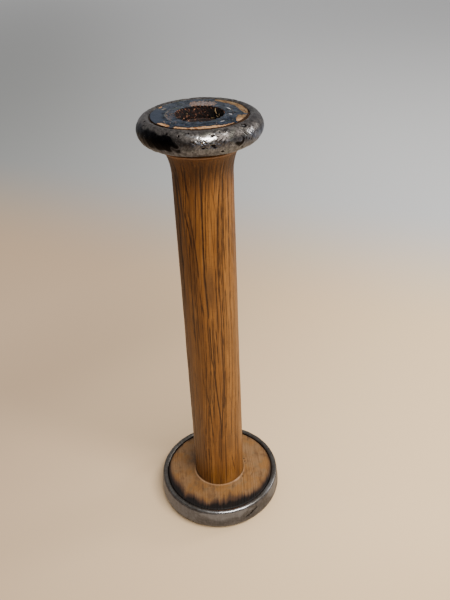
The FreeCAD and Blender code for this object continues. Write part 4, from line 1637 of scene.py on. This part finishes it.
@dataclass(frozen=True)
class Lamp:
    """A soft oblong lamp that hangs in some direction from the spool and faces it."""

    name: str
    azimuth: float
    elevation: float
    distance: float
    width: float
    height: float
    power: float
    colour: Colour

    def hang(self) -> Thing:
        """Hangs it: azimuth runs from the camera's side towards +X, elevation up from the floor."""
        data = bpy.data.lights.new(self.name, "AREA")
        data.shape = "RECTANGLE"
        data.size, data.size_y = self.width, self.height
        data.energy = self.power
        data.color = self.colour
        turn, rise = math.radians(self.azimuth), math.radians(self.elevation)
        away = Vector((math.sin(turn) * math.cos(rise), -math.cos(turn) * math.cos(rise), math.sin(rise)))
        lamp = bpy.data.objects.new(self.name, data)
        lamp.location = Vector((0.0, 0.0, 0.14)) + self.distance * away
        lamp.rotation_euler = away.to_track_quat("Z", "Y").to_euler()
        bpy.context.scene.collection.objects.link(lamp)
        return lamp


@dataclass
class Studio:
    """Plain pale floor with painted light, soft lights and the camera that matches the photograph."""

    sensor: float = 36.0
    lens: float = 634.2 / 600.0 * 36.0
    floor_half: float = 6.0
    eye: tuple[float, float, float] = (0.0, -0.2787, 0.3252)
    pitch: float = 33.403
    roll: float = 2.459
    yaw: float = 1.613
    lamps: tuple[Lamp, ...] = (
        Lamp("skylight", 33.0, 54.0, 1.25, 0.90, 0.30, 27.0, (1.0, 0.965, 0.92)),
        Lamp("side_window", 107.0, 19.0, 1.30, 0.24, 0.24, 4.6, (1.0, 0.98, 0.96)),
    )

    def build(self) -> None:
        """Makes the floor, the lamps, the world and the camera."""
        self._floor()
        for lamp in self.lamps:
            lamp.hang()
        self._world()
        self._camera()

    def _floor(self) -> None:
        """A wide plain cloth, level with the foot, cream near the spool and greyer far behind it, with painted light
        across it.
        """
        half = self.floor_half
        corners = np.array([(-half, -half, 0), (half, -half, 0), (half, half, 0), (-half, half, 0)], dtype=float)
        floor = mesh_object("floor", corners, np.array([[0, 1, 2, 3]]), {})
        bench = Bench("floor_cloth_painted_light")
        # Painted light: the cloth is darker on the left and brighter on the right, darker towards the camera, and paler
        # to the right and far off, where the lamps' light falls off.
        right = bench.reading((0.93, -0.37, 0.0)).between(-0.22, 0.20)
        far = bench.reading((0.42, 0.91, 0.0)).between(0.20, 0.46)
        cloth = bench.tint((0.52, 0.370, 0.236), (0.93, 0.680, 0.395), right)
        cloth = bench.shade(cloth, (0.86, 0.83, 0.81), bench.reading((0.0, -1.0, 0.0)).between(0.03, 0.14))
        room = bench.layers(
            (0.33, 0.335, 0.325),
            ((0.60, 0.605, 0.60), bench.reading((1.0, 0.15, 0.0)).between(-0.25, 0.40)),
            ((0.85, 0.85, 0.84), bench.reading((0.0, 1.0, 0.0)).between(0.7, 3.5) * 0.8),
        )
        cloth, relief = bench.tint(cloth, room, far), bench.bump(bench.noise(1.2, 3.0), 0.10, 0.5)
        matt = bench.finish(Base_Color=cloth, Roughness=0.9, Specular_IOR_Level=0.2, Normal=relief)
        floor.data.materials.append(matt)

    @staticmethod
    def _world() -> None:
        """A plain pale room, brighter above and behind the spool than on the camera's side."""
        world = bpy.data.worlds.new("room")
        world.use_nodes = True
        tree = world.node_tree
        tree.nodes.clear()
        place = tree.nodes.new("ShaderNodeTexCoord")
        along = tree.nodes.new("ShaderNodeVectorMath")
        along.operation = "DOT_PRODUCT"
        along.inputs[1].default_value = (0.25, 0.55, 0.62)
        shade = tree.nodes.new("ShaderNodeMapRange")
        shade.interpolation_type = "SMOOTHSTEP"
        for key, value in {"From Min": -0.35, "From Max": 0.85, "To Min": 0.10, "To Max": 0.85}.items():
            shade.inputs[key].default_value = value
        background = tree.nodes.new("ShaderNodeBackground")
        background.inputs["Color"].default_value = (0.885, 0.880, 0.900, 1.0)
        output = tree.nodes.new("ShaderNodeOutputWorld")
        tree.links.new(place.outputs["Generated"], along.inputs[0])
        tree.links.new(along.outputs["Value"], shade.inputs["Value"])
        tree.links.new(shade.outputs["Result"], background.inputs["Strength"])
        tree.links.new(background.outputs[0], output.inputs["Surface"])
        bpy.context.scene.world = world

    def _camera(self) -> None:
        """Stands the camera where the photograph was taken.

        The view is yaw round from +Y and pitch down; the picture's right is level, then both are rolled
        about the view.
        """
        pitch, roll, yaw = (math.radians(value) for value in (self.pitch, self.roll, self.yaw))
        view = Vector((math.sin(yaw) * math.cos(pitch), math.cos(yaw) * math.cos(pitch), -math.sin(pitch)))
        level = Vector((math.cos(yaw), -math.sin(yaw), 0.0))
        down = view.cross(level)
        right = math.cos(roll) * level + math.sin(roll) * down
        fall = -math.sin(roll) * level + math.cos(roll) * down
        turn = Matrix((right, -fall, -view)).transposed()
        data = bpy.data.cameras.new("portrait")
        data.sensor_width = self.sensor
        data.sensor_fit = "AUTO"
        data.lens = self.lens
        data.clip_start = 0.01
        camera = bpy.data.objects.new("portrait", data)
        camera.matrix_world = Matrix.Translation(self.eye) @ turn.to_4x4()
        bpy.context.scene.collection.objects.link(camera)
        bpy.context.scene.camera = camera


SMALL_SHIELD_SPOTS: tuple[Spot, ...] = (
    Spot(-73.4, 11.2, 0.60, 0.60, 0.22), Spot(-66.7, 9.5, 0.9, 0.30, 0.14, 20.0), Spot(-43.2, 7.8, 0.50, 0.45, 0.15),
    Spot(-32.1, 9.2, 0.42, 0.42, 0.14), Spot(-30.6, 8.0, 0.45, 0.40, 0.14), Spot(-20.0, 8.9, 0.62, 0.60, 0.22),
    Spot(-11.3, 10.5, 0.55, 0.42, 0.22), Spot(-6.5, 6.2, 0.36, 0.50, 0.13), Spot(-7.9, 1.9, 0.30, 0.40, 0.13),
    Spot(-1.8, 7.8, 0.30, 0.55, 0.12), Spot(2.3, 3.8, 1.35, 0.30, 0.22), Spot(4.6, 5.8, 0.55, 0.30, 0.18),
    Spot(5.2, 6.9, 0.30, 0.22, 0.12), Spot(8.1, 9.6, 0.36, 0.28, 0.12), Spot(9.8, 4.6, 0.85, 0.52, 0.30),
    Spot(11.6, 3.6, 0.62, 0.42, 0.30), Spot(11.1, 9.2, 0.50, 0.36, 0.18), Spot(17.3, 10.2, 0.55, 0.34, 0.16),
    Spot(18.7, 1.0, 0.62, 0.62, 0.26), Spot(24.6, 4.2, 0.40, 0.75, 0.10), Spot(42.2, 6.8, 0.30, 0.85, 0.15, 35.0),
    Spot(10.2, 8.75, 0.50, 0.36, 0.20), Spot(45.7, 4.0, 0.26, 0.95, 0.14), Spot(49.7, 3.6, 0.24, 0.90, 0.14),
    Spot(47.6, 4.1, 0.20, 0.60, 0.10),
)

# Black scale on the smaller shield, partly painted: the broad lobe on the left front also stands in for dark reflection
# and shade, and the faint band on the right, from 57 to 125 degrees, is painted shade that tones down the side lamp's
# light.
SMALL_SHIELD_SCALE_AND_SHADE: tuple[Smear, ...] = (
    Smear(
        0.98,
        ((-114, 5.0), (-98, 7.0), (-84, 8.2), (-72, 8.7), (-60, 8.9), (-50, 9.2), (-42, 8.7), (-34, 8.8), (-28, 8.2),
         (-22, 6.4)),
        ((-114, 3.4), (-98, 1.6), (-84, 1.0), (-72, 1.6), (-60, 1.8), (-50, 1.4), (-42, 1.8), (-34, 1.5), (-28, 1.8),
         (-22, 3.4)),
        1.0,
    ),
    Smear(0.40, ((-29, 8.8), (-20, 8.6), (-12, 7.7), (-5, 6.6)),
          ((-29, 1.6), (-20, 1.5), (-12, 1.6), (-5, 2.6)), 1.1),
    Smear(0.80, ((-25, 3.2), (-20, 3.4), (-15, 3.0)), ((-25, 1.4), (-20, 1.3), (-15, 1.8)), 0.6),
    Smear(0.96, ((30, 4.5), (34, 5.2), (38, 5.6), (43, 5.4)),
          ((30, 2.9), (34, 2.2), (38, 2.3), (43, 3.0)), 0.7),
    Smear(0.62, ((43, 4.8), (48, 4.7), (54, 4.2)), ((43, 2.4), (48, 2.0), (54, 2.6)), 0.7),
    Smear(0.50, ((23, 10.2), (29, 10.4), (35, 9.6)), ((23, 6.6), (29, 5.0), (35, 5.4)), 1.2),
    Smear(0.60, ((13.5, 7.9), (17, 8.0), (20.5, 7.8)), ((13.5, 6.9), (17, 6.7), (20.5, 7.0)), 0.5),
    Smear(0.62, ((20.5, 5.0), (24, 5.1), (27.5, 4.8)), ((20.5, 3.9), (24, 3.2), (27.5, 3.7)), 0.6),
    Smear(0.50, ((19, 11.4), (24, 11.3), (28, 11.0)), ((19, 10.3), (24, 10.0), (28, 9.9)), 0.5),
    Smear(0.34, ((34, 3.2), (42, 3.8), (52, 3.6), (60, 3.0)),
          ((34, 0.2), (42, 0.0), (52, 0.3), (60, 1.2)), 0.8),
    Smear(0.55, ((40, 9.8), (44, 10.0), (49, 9.7), (54, 9.4)),
          ((40, 9.0), (44, 9.1), (49, 9.0), (54, 8.8)), 0.5),
    Smear(0.36, ((57, 12.4), (72, 13.6), (95, 13.8), (125, 13.0)),
          ((57, 7.0), (66, 3.0), (95, 2.0), (125, 3.0)), 1.8),
    Smear(0.85, ((98, 6.0), (112, 8.2), (128, 7.0), (139, 4.6)),
          ((98, 4.0), (112, 1.2), (128, 0.8), (139, 3.0)), 1.0),
    Smear(0.75, ((-176, 5.0), (-160, 7.8), (-140, 8.6), (-122, 6.0)),
          ((-176, 3.2), (-160, 2.2), (-140, 1.0), (-122, 3.6)), 1.0),
)

# Rubbed places on the smaller shield, mostly painted highlights: laid where the lamps' highlights fall on the crown at
# the front and on the right.
SMALL_SHIELD_RUBS_AND_HIGHLIGHTS: tuple[Smear, ...] = (
    Smear(1.0, ((-8, 9.4), (0, 9.3), (7, 8.9), (13, 8.9)), ((-8, 8.3), (0, 7.7), (7, 6.6), (13, 8.1)), 0.5),
    Smear(0.7, ((-4, 6.6), (2, 6.6), (8, 6.8)), ((-4, 5.6), (2, 5.4), (8, 5.8)), 0.4),
    Smear(0.62, ((13, 9.3), (24, 9.8), (33, 10.2)), ((13, 8.7), (24, 9.2), (33, 9.7)), 0.35),
    Smear(0.74, ((46, 7.4), (50, 8.3), (55, 7.8)), ((46, 6.7), (50, 5.4), (55, 6.6)), 0.6),
    Smear(0.50, ((142, 9.2), (158, 9.8), (176, 9.0)), ((142, 5.4), (158, 4.0), (176, 5.0)), 1.2),
    Smear(0.45, ((-120, 9.4), (-104, 9.6), (-88, 9.2)), ((-120, 7.0), (-104, 7.6), (-88, 8.4)), 0.8),
)

# Rubbed places on the larger shield, partly painted highlights: a soft sheen on the bead and upper wall at the front
# and right.
LARGE_SHIELD_RUBS_AND_HIGHLIGHTS: tuple[Smear, ...] = (
    Smear(0.55, ((-24, 19.0), (0, 19.4), (24, 19.2)), ((-24, 16.0), (0, 13.0), (24, 15.0)), 1.6),
    Smear(0.45, ((50, 19.0), (62, 19.4), (74, 19.0)), ((50, 15.0), (62, 11.0), (74, 15.0)), 1.6),
    Smear(0.24, ((-92, 18.6), (-60, 19.2), (-26, 18.8)), ((-92, 10.0), (-60, 8.4), (-26, 10.4)), 2.0),
    Smear(0.40, ((-150, 18.0), (-120, 19.0), (-95, 18.0)), ((-150, 12.0), (-120, 10.0), (-95, 12.0)), 2.0),
    Smear(0.40, ((110, 18.0), (135, 19.0), (160, 18.0)), ((110, 12.0), (135, 10.0), (160, 12.0)), 2.0),
)


def main() -> None:
    logging.basicConfig(level=logging.INFO, format="%(name)s: %(message)s")
    Studio().build()
    rusty = RustySteel("rusty_sleeve_steel").material()
    # The below colours are painted reflection tints for steel that faces the floor.
    pitted = ShieldSteel(
        "pitted_shield_steel", bright=(0.150, 0.134, 0.122), patina=(0.052, 0.0455, 0.0420),
        polished=(0.36, 0.355, 0.35), below=(1.14, 1.43, 2.02), roughness=0.43, pitted=0.9,
    )
    satin = ShieldSteel(
        "satin_shield_steel", bright=(0.135, 0.122, 0.108), patina=(0.080, 0.071, 0.061),
        polished=(0.26, 0.255, 0.25), below=(0.86, 1.07, 1.62), roughness=0.42, pitted=0.35,
    )
    Barrel("barrel_oiled", "barrel", "barrel_wood", 360).build(OiledWood("oiled_barrel_wood").material())
    SmallHead("top_head_painted", "top_head", "painted_wood", 540).build(PaintedWood("painted_head_wood").material())
    LargeHead("bottom_head_stained", "bottom_head", "head_wood", 540).build(HeadWood("bare_head_wood").material())
    SmallShield(
        "top_shield_pitted", "top_rim_ring", "pitted_steel", 760, reach=28.0,
        pits=(
            Dents(101, 150, (0.0, 24.0), (0.22, 0.75), (0.08, 0.24)),
            Dents(103, 190, (0.0, 13.0), (0.15, 0.40), (0.06, 0.15)),
        ),
        spots=SMALL_SHIELD_SPOTS, dark_scale_and_shade=SMALL_SHIELD_SCALE_AND_SHADE, rubs_and_highlights=SMALL_SHIELD_RUBS_AND_HIGHLIGHTS,
    ).build(pitted.material())
    LargeShield(
        "bottom_shield_satin", "bottom_rim_ring", "worn_steel", 760, reach=36.5,
        pits=(Dents(111, 46, (0.0, 22.0), (0.22, 0.7), (0.08, 0.20)),), rubs_and_highlights=LARGE_SHIELD_RUBS_AND_HIGHLIGHTS,
    ).build(satin.material())
    Sleeve("top_sleeve_rusty", "top_bushing", "sleeve_steel", 180).build(rusty)
    Sleeve(
        "bottom_sleeve_rusty", "bottom_bushing", "sleeve_steel", 180, low=1.0, high=23.0, slot_width=4.0, slot_depth=6.0
    ).build(rusty)
    MouthSplinters().build(DryStraw("dry_splinters").material())


if __name__ == "__main__":
    main()
